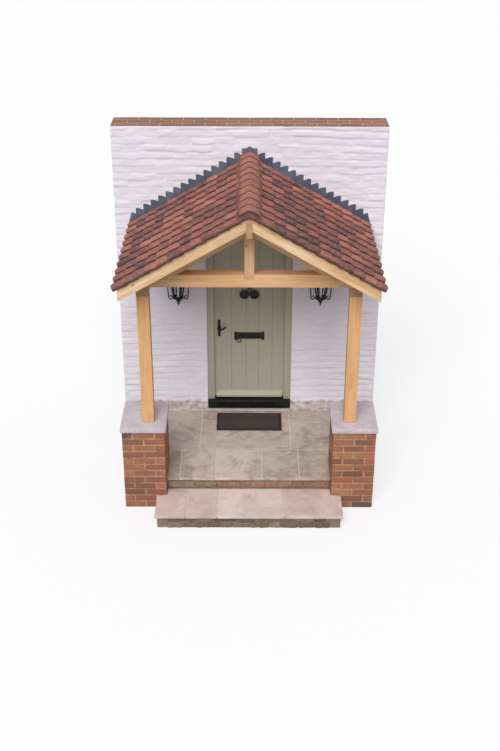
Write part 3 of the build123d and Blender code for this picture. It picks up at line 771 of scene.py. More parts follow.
# Oak frame
# Green oak planed by hand: posts, eaves plates, tie beam, king post, principal rafters, purlins, ridge
# beam and barge boards. Edges are eased with a plane, and joints are drawn up with oak pegs.
def timber_finish(name, pale, tan_tone, deep, figure):
    """Timber seen along and across its grain, from the place that each point has in its own timber."""
    finish = Finish(name, pale, 0.62)

    def grainy(scale, detail, stretch, roughness=0.55, distortion=0):
        return finish.cloudy(scale, detail, roughness, distortion, stretch, "grain")

    fibres = grainy(3.0, 6, (1.1, 34, 34), 0.64, 0.3)
    pores = grainy(2.0, 3, (7, 210, 210), 0.5)
    blotch = grainy(1.6, 3, (0.9, 2.2, 2.2))
    shakes = grainy(1.3, 3, (0.7, 26, 26), 0.5, 0.2)
    knots = finish.add("TexVoronoi", finish.place((4.0, 7.0, 7.0), "grain"), Scale=1.0, Randomness=1.0)
    crack = finish.spread(
        finish.reckon("ABSOLUTE", finish.reckon("SUBTRACT", shakes, 0.33)), 0.0, 0.012, 0.8, 0.0
    )
    wood = finish.paint(
        pale,
        (finish.layered("X", blotch, 1.4), 0.55, 1.5, 1, tan_tone),
        (grainy(2.0, 5, (0.5, 8, 8), 0.6, 1.1), 0.42, 0.68, figure, deep),
        (fibres, 0.45, 0.7, 0.75, deep),
        (pores, 0.6, 0.78, 0.4, (0.24, 0.12, 0.05)),
        (finish.spread(knots.outputs["Distance"], 0.03, 0.11, 0.75, 0.0), 0, 1, 1, (0.2, 0.095, 0.038)),
        (crack, 0, 1, 1, (0.16, 0.075, 0.03)),
    )
    facing = finish.add("NewGeometry").outputs["Normal"]
    end = finish.add("VectorMath", facing, finish.carried("run"), operation="DOT_PRODUCT")
    rings = finish.add(
        "TexWave", finish.place((0, 5, 5), "grain"), wave_type="RINGS", rings_direction="X", Scale=9.0,
        Distortion=1.6, Detail=3.0, Detail_Scale=3.0,
    )
    ringed = finish.tint(rings.outputs["Fac"], (0.36, 0.2, 0.095), (0.62, 0.4, 0.21))
    ringed = finish.tint(finish.spread(blotch, 0.45, 0.65, 0, 0.6), ringed, (0.25, 0.145, 0.085))
    finish.paint(wood, (finish.reckon("ABSOLUTE", end.outputs["Value"]), 0.75, 0.92, 1, ringed))
    raised, split = finish.reckon("ADD", fibres, pores), finish.reckon("MULTIPLY", crack, 2.0)
    finish.relief(finish.reckon("SUBTRACT", raised, split), 0.0013, 0.7)
    return finish


def own_solid(node, arris, sharpest, weld=0.00002):
    """A node's own solid with its arrises eased."""
    shell = bmesh.new()
    shell.from_mesh(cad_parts[node].data)
    bmesh.ops.remove_doubles(shell, verts=shell.verts[:], dist=weld)
    bmesh.ops.dissolve_limit(
        shell, angle_limit=radians(0.5), verts=shell.verts[:], edges=shell.edges[:],
        use_dissolve_boundaries=False,
    )
    sharp = [edge for edge in shell.edges if edge.is_manifold and edge.calc_face_angle() > radians(sharpest)]
    ease(shell, sharp, arris, clamp=True)
    return shell


def separate_pieces(shell):
    """The separate pieces of a shell, each as a list of its points."""
    seen, pieces = set(), []
    for start in shell.verts:
        group = [] if start in seen else [start]
        seen.update(group)
        for vert in group:
            fresh = [edge.other_vert(vert) for edge in vert.link_edges if edge.other_vert(vert) not in seen]
            seen.update(fresh)
            group += fresh
        if group:
            pieces.append(group)
    return pieces


def dressed_timber(
    name, node, finish, along, arris=0.0035, waver=0.0012, spacing=0.12, warmth=0.5, body="porch"
):
    """A timber's own solid with its arrises eased, a hand-planed waver, and its grain along its length."""
    shell = own_solid(node, arris, 15)
    direction = Vector(along).normalized()
    side = direction.cross(Vector((0, 0, 1)) if abs(direction.z) < 0.9 else Vector((1, 0, 0))).normalized()
    axes = (direction, side, direction.cross(side))
    reach = [vert.co.dot(direction) for vert in shell.verts]
    start, stop = min(reach), max(reach)
    cuts = int((stop - start) / spacing)
    for index in range(1, cuts):
        cut_across(shell, direction * (start + (stop - start) * index / cuts), direction)
    bmesh.ops.recalc_face_normals(shell, faces=shell.faces[:])
    bmesh.ops.triangulate(shell, faces=[face for face in shell.faces if len(face.verts) > 4])
    shell.normal_update()
    shell.verts.index_update()
    grain, tones = [None] * len(shell.verts), [None] * len(shell.verts)
    for group in separate_pieces(shell):
        heart = [0]
        for axis in axes[1:]:
            spots = [vert.co.dot(axis) for vert in group]
            heart.append((min(spots) + max(spots)) / 2 + uniform(-0.02, 0.02))
        heart[0] = -uniform(0, 40)
        tone = (held(warmth + uniform(-0.12, 0.12)), random(), 0)
        for vert in group:
            grain[vert.index] = [vert.co.dot(axis) - middle for axis, middle in zip(axes, heart)]
            tones[vert.index] = tone
    offset = Vector((len(node) * 1.7, start * 3, stop))
    if waver:
        for vert in shell.verts:
            vert.co += vert.normal * waver * noise.noise(vert.co * 3.1 + offset)
    along_all = [direction] * len(grain)
    return make_piece(name, shell, finish, [node], body, 28, grain=grain, tone=tones, run=along_all)


oak = timber_finish("oak", (0.9, 0.665, 0.43), (0.78, 0.445, 0.2), (0.6, 0.32, 0.13), 0.7)
pitch_angle = radians(30)
down_right = Vector((cos(pitch_angle), 0, -sin(pitch_angle)))
down_left = Vector((-cos(pitch_angle), 0, -sin(pitch_angle)))
upright, across, outwards = Vector((0, 0, 1)), Vector((1, 0, 0)), Vector((0, 1, 0))
seed(41)
for node, along, warmth in (
    ("left_post", upright, 0.85), ("right_post", upright, 0.9), ("eaves_plates", outwards, 0.6),
    ("tie_beam", across, 0.5), ("king_post", upright, 0.55), ("left_principal_rafter", down_left, 0.4),
    ("right_principal_rafter", down_right, 0.4), ("ridge_beam", outwards, 0.5), ("purlins", outwards, 0.6),
    ("left_barge_board", down_left, 0.12), ("right_barge_board", down_right, 0.12),
):
    dressed_timber(f"{node}_oak", node, oak, along, warmth=warmth)

peg_radius = 0.008
peg_stand = 0.004
tie_low, tie_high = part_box("tie_beam")
post_low, post_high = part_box("right_post")
plate_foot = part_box("eaves_plates")[0].z
peg_places = [(-0.016, tie_high.z - 0.032), (0.02, tie_high.z - 0.014)]
for side in (-1, 1):
    post_middle = side * (post_low.x + post_high.x) / 2
    peg_places += [
        (post_middle - 0.024, plate_foot + 0.03), (post_middle + 0.026, plate_foot + 0.058),
        (post_middle - side * 0.03, tie_low.z + 0.045), (side * 0.77, tie_high.z - 0.03),
    ]
shell = bmesh.new()
for x, z in peg_places:
    place = Matrix.Translation((x, tie_low.y + 0.004 - peg_stand / 2, z)) @ Matrix.Rotation(pi / 2, 4, "X")
    bmesh.ops.create_cone(
        shell, cap_ends=True, segments=10, radius1=peg_radius, radius2=peg_radius * 0.9,
        depth=peg_stand + 0.008, matrix=place,
    )
grain = [(vert.co.y + 3, vert.co.x % 0.05 - 0.02, vert.co.z % 0.05 - 0.02) for vert in shell.verts]
count = len(grain)
make_piece("oak_pegs", shell, oak, grain=grain, tone=[(1.0, 0.5, 0)] * count, run=[outwards] * count)


# Roof boards and battens
# Sawn softwood boards laid from verge to wall, side by side down each slope, with battens across the top
# for the tiles to hang on. Only their edges and undersides show.
board_count = 8
board_gap = 0.003
board_arris = 0.0015
board_thickness = 0.018
softwood = timber_finish("softwood", (0.66, 0.46, 0.27), (0.58, 0.37, 0.19), (0.4, 0.24, 0.11), 0.5)
for node, direction in (("left_roof_boards", down_left), ("right_roof_boards", down_right)):
    low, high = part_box(node)
    length = (high.x - low.x) / cos(pitch_angle)
    normal = Vector((direction.x * tan(pitch_angle), 0, cos(pitch_angle)))
    lay = Matrix((
        (direction.x, 0, normal.x, 0), (0, 1, 0, 0), (direction.z, 0, normal.z, high.z), (0, 0, 0, 1),
    ))
    boards, grain = Shape(), []
    for index in range(board_count):
        near = length * index / board_count + board_gap / 2
        far = length * (index + 1) / board_count - board_gap / 2
        shift = uniform(0, 30)
        corners = (near, low.y, -board_thickness), (far, high.y, 0)
        middle = (near + far) / 2
        grain += [(p.y + shift, p.x - middle, p.z + 0.03) for p in block_points(*corners, board_arris)]
        boards.block(*corners, board_arris, (random(), random(), 0), turn=lay)
    boards.piece(f"{node}_laid", softwood, [node], grain=grain, run=[outwards] * len(grain))
dressed_timber("tile_battens_sawn", "tile_battens", softwood, outwards, board_arris, 0.0, 0.4, 0.6)


# Clay tiles
# Handmade tiles with a roll along one side, hung on the battens. Each roll laps over the pan of the tile
# in front of it, each tail over the tile below, and no two are fired to the same colour.
tile_rows = 10
tile_courses = 12
tile_thickness = 0.012
tile_sink = 0.004
roll_height = 0.027
crown_rise = 0.042
tail_lap = 0.035
tail_lift = 0.011
tail_round = 0.006
tile_skew, tile_rise = 0.0022, 0.0024
verge_tuck = 0.006
wall_gap = 0.0045
batten_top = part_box("left_barge_board")[1].z
tile_low, tile_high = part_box("right_tiles")
verge = tile_low.y
tile_width = (wall_front - verge) / tile_rows
gauge = (tile_high.x - crown_rise * sin(pitch_angle)) / cos(pitch_angle) / tile_courses

# The third part of each point's tone darkens the clay almost to black. It paints shade along the lips, in the
# valleys, at the tails, under the tiles, and at the front ends and edges of the ridge tiles, with some real
# grime in the valleys. At the ridge bedding it is the mortar's own darker colour.
clay = coated(
    "clay_tile", (0.28, 0.1, 0.07), 0.74,
    [(0.105, 0.056, 0.056), (0.185, 0.074, 0.066), (0.265, 0.094, 0.077), (0.34, 0.118, 0.092),
     (0.43, 0.165, 0.128), (0.47, 0.165, 0.09)],
    ((9, 5, 0.65), 0.42, 0.72, 0.6, (0.115, 0.06, 0.056)),
    ((24, 6, 0.72), 0.46, 0.74, 0.6, (0.52, 0.28, 0.225)),
    ("Z", 0.0, 1.0, 0.95, (0.018, 0.011, 0.011)), rough=((85, 6, 0.7), 0.0026, 0.8), shine=0.25,
)

# Across a tile, front to back: share of its width, share of the roll's height, and how dark it is painted
# there: painted shade along the lip and in the valley, where some real grime lies too
tile_section = [
    (0.0, 0.22, 0.85), (0.018, 0.42, 0.4), (0.05, 0.64, 0.05), (0.1, 0.84, 0.0), (0.17, 0.96, 0.0),
    (0.24, 1.0, 0.0), (0.33, 0.95, 0.0), (0.43, 0.85, 0.0), (0.54, 0.71, 0.0), (0.65, 0.54, 0.05),
    (0.76, 0.36, 0.22), (0.86, 0.17, 0.62), (0.93, 0.03, 0.95), (0.98, 0.0, 1.0), (1.03, 0.0, 1.0),
]
verge_heights = (-0.42, 0.1, 0.5)


def on_slope(side, down, y, height):
    """A point down one slope from the centre line, at a height over the battens."""
    return (
        side * (down * cos(pitch_angle) + height * sin(pitch_angle)), y,
        batten_top - down * sin(pitch_angle) + height * cos(pitch_angle),
    )


def tile_tone(row):
    """Mostly dark reds, with purple ones towards the verge and orange ones near the wall."""
    back = (row + 0.5) / tile_rows
    value = gauss(0.43 + 0.08 * back, 0.25)
    if random() < 0.05 + 0.1 * back:
        value += 0.22
    if random() < 0.24 * (1 - back) + 0.08:
        value -= 0.22
    return held(value), random()


def lay_tile(slope, side, row, number):
    """One tile: rings of points round its section, from its head to its tail."""
    front = verge + row * tile_width
    head = max(0.0, number * gauge - tail_lap)
    tail = (number + 1) * gauge
    own_tone = tile_tone(row)
    skew = uniform(-tile_skew, tile_skew)
    rise = uniform(0, tile_rise) - tile_sink
    slide = uniform(-0.004, 0.002) if number < tile_courses - 1 else uniform(-0.003, 0)
    rings, tones = [], []
    for down, lift in (
        (head, 0.0), ((head + tail) / 2, tail_lift * 0.5), (tail - tail_round, tail_lift),
        (tail, tail_lift - 0.002),
    ):
        upper, lower = [], []
        for place, (share, height, shade_and_grime) in enumerate(tile_section):
            y = front + share * tile_width + skew * (down - head) / gauge
            tuck = 0.0
            if row == 0 and place < len(verge_heights):
                y, height, tuck = max(y, verge), verge_heights[place], verge_tuck
            if row == tile_rows - 1:
                y = min(y, wall_front - wall_gap)
            crest = lift + rise + roll_height * height + tile_thickness
            # Painted shade: the lip, the valley and the tail end are darkened by the tone, and the underside
            # is painted dark all over.
            upper.append((y, crest, max(shade_and_grime, 0.25 if down == tail else 0.0)))
            lower.append((y + tuck, crest - tile_thickness * (0.75 if place < 2 else 1.0), 0.8))
        skin = upper + lower[::-1]
        rings.append([on_slope(side, max(down + slide, 0), y, height) for y, height, _ in skin])
        tones += [(*own_tone, shade_and_grime) for _, _, shade_and_grime in skin]
    slope.rings(rings, tones, -side)


for name, side, node, draw in (
    ("left_tiles_hung", -1, "left_tiles", 71), ("right_tiles_hung", 1, "right_tiles", 97)
):
    seed(draw)
    slope = Shape()
    for number, row in product(range(tile_courses), range(tile_rows)):
        lay_tile(slope, side, row, number)
    slope.piece(name, clay, [node], smooth=42)


# Ridge tiles
# Angular tiles with a rounded back, one for each roll, over the heads of both slopes and bedded in mortar
# coloured to match. Each lifts at its front end over the next one. They turn orange towards the wall.
ridge_thickness = 0.014
ridge_lap = 0.028
ridge_lift = 0.012
ridge_round = 0.05
ridge_steps = 6
ridge_sink = 0.0018
ridge_narrow, ridge_tilt = 0.995, 0.0018
bed_setback = 0.01
ridge_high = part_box("ridge_tiles")[1]
ridge_half = ridge_high.x
ridge_crown = ridge_high.z - ridge_sink


def mirrored(outline):
    """The other half of an outline of (x, z) points, in the order that carries on round it."""
    return [(-x, z) for x, z in reversed(outline)]


def ridge_section(inward):
    """Points across a ridge tile from its left edge over the rounded back to its right edge."""
    radius = ridge_round - inward
    straight = (ridge_half - ridge_round * sin(pitch_angle)) / cos(pitch_angle)
    angles = [pitch_angle * step / ridge_steps for step in range(ridge_steps + 1)]
    right = [(radius * sin(angle), radius * cos(angle) - ridge_round) for angle in angles]
    x, z = right[-1]
    for down in (straight * 0.5, straight):
        right.append((x + down * cos(pitch_angle), z - down * sin(pitch_angle)))
    return mirrored(right[1:]) + right


outer, section = ridge_section(0.0), ridge_section(ridge_thickness)[::-1]
seed(31)
ridge = Shape()
for row in range(tile_rows):
    front = verge + row * tile_width
    back = min(front + tile_width + ridge_lap, wall_front - 0.005)
    colour = held(gauss(0.7 + 0.22 * row / (tile_rows - 1), 0.07))
    light = random()
    tilt = uniform(-ridge_tilt, ridge_tilt)
    rings, tones = [], []
    # Painted shade: the front end of each ridge tile, its two lower edges and its whole underside are
    # darkened by the tone.
    for y, drop, dark in (
        (front, 0.0, 0.55), (front + 0.004, 0.0006, 0.1), (front + 0.03, -0.002, 0.0),
        (front + tile_width * 0.6, -ridge_lift * 0.6, 0.0), (back, -ridge_lift, 0.0),
    ):
        rings.append([(x * ridge_narrow + tilt, y, ridge_crown + z + drop) for x, z in outer + section])
        shaded = [max(dark, 0.45 if index in (0, len(outer) - 1) else 0.0) for index in range(len(outer))]
        tones += [(colour, light, shade_and_grime) for shade_and_grime in shaded + [0.8] * len(section)]
    ridge.rings(rings, tones)
ridge.piece("ridge_tiles_bedded", clay, ["ridge_tiles"], smooth=42)

leg = ridge_half / cos(pitch_angle) - bed_setback
bed_height = crown_rise + 0.003
bed_right = [on_slope(1, leg, 0, 0)[::2], on_slope(1, leg, 0, bed_height)[::2]]
outline = [(0, batten_top), *bed_right, (0, batten_top + bed_height / cos(pitch_angle))]
outline += mirrored(bed_right)
bed = Shape()
bed.rings([[(x, y, z) for x, z in outline] for y in (verge + 0.003, wall_front - 0.006)], (0.3, 0.5, 0.3), -1)
bed.piece("ridge_bedding", clay)


# Stepped flashing
# Sheet lead in overlapping pieces, cut in level steps up the wall over both slopes, and laid flat on its
# face.
# Dark blue-grey, paler where rain runs over it.
lead_step_count = 16
lead_sheet = 0.0018
lead_dip = 0.022
lead_stand = 0.004
lead_lap = 0.014
lead_sag = 0.0006
lead_over_tiles, lead_in_ridge = 0.004, 0.01
lead = coated(
    "lead", (0.085, 0.105, 0.145), 0.5, (0.085, 0.118, 0.17),
    ((7, 5, 0.65), 0.35, 0.7, 1, (0.19, 0.225, 0.28)), ("X", 0.0, 1.0, 0.5, (0.045, 0.06, 0.085)),
    rough=((22, 4), 0.003),
)
lead.inputs["Metallic"].default_value = 0.3
flash_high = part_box("stepped_flashing")[1]
tread = flash_high.x / lead_step_count
fall = tan(pitch_angle)
lead_foot = batten_top + lead_over_tiles / cos(pitch_angle)
over_ridge = batten_top + (crown_rise + ridge_thickness - lead_in_ridge) / cos(pitch_angle)
saddle = ridge_half + 0.0003
lead_top = flash_high.z - fall * tread / 2


def lower_edge(near, far):
    """The lower edge of the lead between two places: over the last ridge tile, then along the tiles."""
    spots = [(x, over_ridge) for x in (near, min(far, saddle)) if near < saddle]
    spots += [(x, lead_foot) for x in (max(near, saddle), far) if far > saddle]
    return [(x, start - fall * x) for x, start in spots]


def lead_plate(shape, outline, front, tone):
    """A flat sheet of lead cut to an outline of (x, z) points, set on the wall."""
    shape.rings([
        [(x, y + lead_sag * wavy(x * 30, z * 30, 4), z) for x, z in outline]
        for y in (front, front + lead_sheet)
    ], (tone, 0, 0), -1)


seed(13)
sheets = Shape()
crest = [(tread, lead_top), (tread * 0.5, lead_top), (0.0, flash_high.z)]
edge = lower_edge(0.0, tread)
outline = mirrored(edge[1:]) + edge + crest + mirrored(crest[:2])
lead_plate(sheets, outline, wall_front - lead_stand, 0.3)
for step in range(1, lead_step_count):
    near, far = step * tread, (step + 1) * tread
    top = lead_top - fall * near
    for side in (-1, 1):
        edge = lower_edge(near - lead_lap if near - lead_lap > saddle else near, far)
        ring = edge + [(far, top), (far - tread * 0.4, top), (edge[0][0], top - lead_dip)]
        if step == lead_step_count - 1:
            ring[-3] = (far, edge[-1][1] + 0.012)
        if side < 0:
            ring = mirrored(ring)
        lead_plate(sheets, ring, wall_front - lead_stand + (0.001 if step % 2 else 0.0), random())
sheets.piece("stepped_flashing_lead", lead, ["stepped_flashing"])


# Door frame and threshold
# A painted softwood frame rebated for the leaf, set back a little in the wall, over a deep black-painted
# threshold that covers the step into the house.
sage = (0.42, 0.402, 0.318)
brushed = (2.0, 4, 0.55, 0, (60, 60, 2.2))
sage_paint = coated(
    "sage_paint", sage, 0.5, sage, ((1.6, 4), 0.38, 0.72, 0.7, (0.45, 0.435, 0.345)),
    (brushed, 0.45, 0.75, 0.3, (0.31, 0.305, 0.225)), ((26, 5, 0.7), 0.55, 0.8, 0.25, (0.28, 0.26, 0.2)),
    rough=(brushed, 0.0007, 0.7), shine=0.3,
)
for node, along in (("left_jamb", upright), ("right_jamb", upright), ("frame_head", across)):
    dressed_timber(f"{node}_painted", node, sage_paint, along, 0.003, 0.0, 0.6)
black_paint = coated(
    "black_paint", (0.012, 0.013, 0.015), 0.38, (0.006, 0.007, 0.008),
    ((14, 5, 0.7), 0.5, 0.8, 0.5, (0.03, 0.029, 0.028)), shine=0.3,
)
dressed_timber("threshold_painted", "threshold", black_paint, across, 0.006, 0.0, 0.1)


# Door leaf
# Five upright boards of unequal width, jointed with a V, with a sloping weather bar across the foot.
# The slot behind the letter plate goes right through.
board_joints = (-0.198, -0.034, 0.105, 0.254)
v_joint = 0.005
slot_gap = Vector((0.005, 0, 0.005))
leaf_low, leaf_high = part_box("door_leaf")
flap_low, flap_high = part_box("letter_flap")
boards = Shape()
for x0, x1 in spans(leaf_low.x, *board_joints, leaf_high.x):
    boards.block((x0, leaf_low.y, leaf_low.z), (x1, leaf_high.y, leaf_high.z), v_joint, (random(), 0, 0))
leaf = boards.piece("door_boards", sage_paint, ["door_leaf"], "door")
slot_low, slot_high = flap_low - slot_gap, flap_high + slot_gap
slot_low.y, slot_high.y = leaf_low.y - 0.01, leaf_high.y + 0.01
cutter_mesh = bpy.data.meshes.new("slot_cutter")
cutter_mesh.from_pydata(block_points(slot_low, slot_high, 0.0001), [], worn_faces)
cutter = put("slot_cutter", cutter_mesh)
cut = leaf.modifiers.new("slot", "BOOLEAN")
cut.operation, cut.solver, cut.object, cut.use_self = "DIFFERENCE", "EXACT", cutter, True
bpy.context.view_layer.update()
slotted = bpy.data.meshes.new_from_object(leaf.evaluated_get(bpy.context.evaluated_depsgraph_get()))
leaf.modifiers.clear()
leaf.data = slotted
bpy.data.objects.remove(cutter)
dressed_timber("weather_bar_painted", "weather_bar", sage_paint, across, 0.0025, 0.0, 0.4, body="door")


# Hinges, latch, letter plate and knocker
# Black japanned iron: butt hinges, curved levers on long plates with a boss, a letter plate with a
# hanging ring and a sprung flap behind it, and a heavy knocker of two round lobes.
black_iron = coated(
    "black_iron", (0.01, 0.01, 0.011), 0.4, (0.008, 0.008, 0.009),
    ((40, 5, 0.7), 0.5, 0.8, 0.6, (0.04, 0.038, 0.037)), rough=((90, 4), 0.0012), shine=0.3,
)


def rod(shape, path, radii, sides=10, closed=False, flat=1.0):
    """A round bar bent along a path, with its own radius at each point."""
    path = [Vector(place) for place in path]
    count, normal, rings = len(path), None, []
    for k, place in enumerate(path):
        before = path[k - 1] if k or closed else path[0]
        after = path[(k + 1) % count] if k < count - 1 or closed else path[-1]
        along = (after - before).normalized()
        if normal is None:
            normal = along.cross(outwards if abs(along.y) < 0.9 else across).normalized()
        normal = (normal - along * normal.dot(along)).normalized()
        other = along.cross(normal) * flat
        radius = radii[k] if isinstance(radii, list) else radii
        angles = [2 * pi * step / sides for step in range(sides)]
        rings.append([place + (normal * cos(angle) + other * sin(angle)) * radius for angle in angles])
    shape.rings(rings, closed=closed)


def arc_path(x, z, radius, start, stop, steps, y):
    """Places round an arc in the front view; angles in degrees, anticlockwise from +X."""
    angles = [radians(start + (stop - start) * k / steps) for k in range(steps + 1)]
    return [(x + radius * cos(angle), y, z + radius * sin(angle)) for angle in angles]


def round_ended_plate(shape, x, z, half_width, half_height, y0, y1, arris=0.002):
    """An upright plate with half-round ends; its edges are eased on the face at y0."""
    way = 1 if y1 > y0 else -1
    rings, rise = [], half_height - half_width
    for y, inset in ((y1, 0.0), (y0 + way * arris, 0.0), (y0, arris)):
        radius = half_width - inset
        top, foot = arc_path(x, z + rise, radius, 0, 180, 8, y), arc_path(x, z - rise, radius, 180, 360, 8, y)
        rings.append(top + foot)
    shape.rings(rings, way=way)


for node, body in (
    ("jamb_hinges", "porch"), ("leaf_hinges", "door"), ("letter_plate", "door"), ("letter_flap", "flap"),
    ("knocker_plate", "door"),
):
    shell = own_solid(node, 0.0012, 40, 0.00001)
    bmesh.ops.triangulate(shell, faces=[face for face in shell.faces if len(face.verts) > 4])
    make_piece(f"{node}_iron", shell, black_iron, [node], body, 35)

plate_low, plate_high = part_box("handle_plates")
lever_low, lever_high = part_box("door_lever")
spindle_x, spindle_z = (plate_low.x + plate_high.x) / 2, (plate_low.z + plate_high.z) / 2
half_width, half_height = (plate_high.x - plate_low.x) / 2, (plate_high.z - plate_low.z) / 2
plates = Shape()
for face, back, sunk in ((plate_low.y, leaf_low.y, 0.0012), (plate_high.y, leaf_high.y, -0.0012)):
    round_ended_plate(plates, spindle_x, spindle_z, half_width * 0.78, half_height, face + sunk, back)
    round_ended_plate(plates, spindle_x, spindle_z, half_width, half_width + 0.014, face, back)
plates.piece("handle_plates_iron", black_iron, ["handle_plates"], "door", 35)

levers = Shape()
lever_reach = lever_high.x - spindle_x - 0.006
lever_rise = radians(16)
lever_inset = 0.012
lever_steps = 12
lever_sag = 0.007
lever_thick, lever_waist = 0.0115, 0.0027
spindle_radius, neck_radius, boss_radius = 0.005, 0.0085, 0.012
spindle = [(spindle_x, y, spindle_z) for y in (lever_low.y + 0.01, lever_high.y - 0.01)]
rod(levers, spindle, spindle_radius, 12)
for y in (lever_low.y + lever_inset, lever_high.y - lever_inset):
    path, radii = [], []
    for k in range(lever_steps + 1):
        share = k / lever_steps
        reach = share * lever_reach
        sag = lever_sag * sin(share * pi * 1.3)
        path.append((
            spindle_x + reach * cos(lever_rise) + sag * sin(lever_rise), y,
            spindle_z + reach * sin(lever_rise) * (0.75 + 0.35 * share) - sag * cos(lever_rise),
        ))
        radii.append(lever_thick - lever_waist * sin(share * pi))
    start, stop = path[0], path[-1]
    path = [(start[0] - 0.005, y, start[2] - 0.001), *path, (stop[0] + 0.004, y, stop[2] + 0.001)]
    rod(levers, path, [0.0075, *radii, 0.0068], 12)
    toward = 1 if y < leaf_low.y else -1
    neck = [(spindle_x, y + toward * reach, spindle_z) for reach in (0.004, 0.03, 0.034)]
    rod(levers, neck, [neck_radius, neck_radius, boss_radius], 14)
levers.piece("door_lever_iron", black_iron, ["door_lever"], "lever", 40)

knocker_low, knocker_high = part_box("knocker")
lobe_z = knocker_low.z + 0.053
pivot_z = knocker_high.z - 0.008
knocker_y = (knocker_low.y + knocker_high.y) / 2
lobe_apart, lobe_radius, lobe_bar = 0.055, 0.0425, 0.01
dish_radius, dish_bar = 0.02, 0.013
pin_half, pin_radius = 0.0145, 0.0078
bridge_half, bridge_bar = 0.034, 0.0125
knocker = Shape()
for side in (-1, 1):
    x = side * lobe_apart
    for radius, thick, steps, sides, flat in (
        (lobe_radius, lobe_bar, 28, 10, 0.7), (dish_radius, dish_bar, 20, 8, 0.32),
    ):
        ring = arc_path(x, lobe_z, radius, 0, 360 - 360 / steps, steps - 1, knocker_y)
        rod(knocker, ring, thick, sides, True, flat)
    boss = [(x, knocker_y + out, lobe_z) for out in (-0.006, -0.004, 0.0045)]
    rod(knocker, boss, [0.006, 0.012, 0.012], 12)
    arm = (
        (0.004, pivot_z - 0.004), (0.007, pivot_z - 0.05), (0.014, lobe_z + 0.055), (0.028, lobe_z + 0.032),
    )
    rod(knocker, [(side * out, knocker_y, up) for out, up in arm], [0.0065, 0.006, 0.0068, 0.007], 10)
rod(knocker, [(-pin_half, knocker_y, pivot_z), (pin_half, knocker_y, pivot_z)], pin_radius, 16)
bridge_line = ((-bridge_half, 0.012), (0.0, 0.004), (bridge_half, 0.012))
bridge = [(out, knocker_y, lobe_z + up) for out, up in bridge_line]
rod(knocker, bridge, bridge_bar, 12, flat=0.6)
knocker.piece("knocker_iron", black_iron, ["knocker"], "knocker", 40)


# Wall lanterns
# Tapering four-sided lanterns of black iron bar with a hipped sheet roof, finials above and below, four
# panes, a pale candle tube inside, and an iron scroll on each side, held off the wall by a bracket.
lantern_foot = lantern_low.z + 0.098
lantern_rise = 0.21
lantern_stand = 0.12
lantern_y = wall_front - lantern_stand
backplate_half, backplate_rise, backplate_thickness = 0.035, 0.095, 0.006
pane_thickness = 0.0022
foot_half, eaves_half, bar = 0.052, 0.08, 0.0072
brim_out = 0.012
scroll, scroll_radius, scroll_out = 0.0062, 0.019, 0.082
bow_out, bow_belly, bow_spread = 0.083, 0.0175, 0.018
bow_steps = 9
bracket = 0.007
candle = coated(
    "candle_tube", (0.78, 0.74, 0.64), 0.5, (0.82, 0.78, 0.68), ((30, 3), 0, 1, 1, (0.66, 0.6, 0.48))
)
rippled = (25, 2)
glass = coated(
    "lantern_glass", (0.86, 0.89, 0.89), 0.05, (0.8, 0.84, 0.84), (rippled, 0, 1, 1, (0.93, 0.95, 0.95)),
    rough=(rippled, 0.0004, 0.4),
)
glass.inputs["Transmission Weight"].default_value = 1.0
glass.inputs["IOR"].default_value = 1.2
corners = ((-1, -1), (1, -1), (1, 1), (-1, 1))


def turned(shape, x, rings, sides):
    """Level rings from low to high, joined into one closed form; four-sided ones stand square."""
    turn, widen = (pi / 4, sqrt(2)) if sides == 4 else (0, 1)
    angles = [turn + 2 * pi * k / sides for k in range(sides)]
    shape.rings([
        [(x + half * widen * cos(angle), lantern_y + half * widen * sin(angle), z) for angle in angles]
        for half, z in rings
    ])


def lantern(shape, middle):
    """Frame, roof, finials, scrolls and bracket of one lantern."""
    foot, eaves, y = lantern_foot, lantern_foot + lantern_rise, lantern_y
    lower, upper = (
        [(middle + a * (half - bar), y + b * (half - bar), z) for a, b in corners]
        for half, z in ((foot_half, foot + bar), (eaves_half, eaves - bar))
    )
    for a, b in zip(lower, upper):
        rod(shape, [a, b], bar, 6)
    for ring in (lower, upper):
        for pair in spans(*ring, ring[0]):
            rod(shape, pair, bar, 6)
    brim = eaves_half + brim_out
    roof = ((brim, -0.004), (brim, 0.002), (0.05, 0.034), (0.02, 0.066), (0.016, 0.072))
    cap = ((0.012, 0.068), (0.014, 0.08), (0.007, 0.09), (0.002, 0.1))
    turned(shape, middle, [(half, eaves + up) for half, up in roof], 4)
    turned(shape, middle, [(half, eaves + up) for half, up in cap], 10)
    turned(shape, middle, [(foot_half - 0.003, foot - 0.003), (foot_half, foot + 0.004)], 4)
    drop = (
        (0.002, 0.097), (0.008, 0.08), (0.013, 0.068), (0.011, 0.058), (0.028, 0.036), (0.04, 0.012),
        (0.041, 0),
    )
    turned(shape, middle, [(half, foot - down) for half, down in drop], 12)
    for side in (-1, 1):
        start, stop = (0, -300) if side > 0 else (180, 480)
        loop = arc_path(middle + side * scroll_out, foot, scroll_radius, start, stop, 18, y)
        bow = []
        for k in range(bow_steps + 1):
            share = k / bow_steps
            out = bow_out + bow_belly * sin(pi * share ** 0.8) + bow_spread * share
            bow.append((middle + side * out, y, eaves - lantern_rise * share))
        rod(shape, bow + loop[1:], scroll, 8)
        rod(shape, [(middle + side * 0.046, y, foot), (middle + side * 0.064, y, foot - 0.004)], scroll, 8)
    rod(shape, [(middle, y, foot - 0.012), (middle, wall_front - 0.005, foot - 0.0104)], bracket, 12)


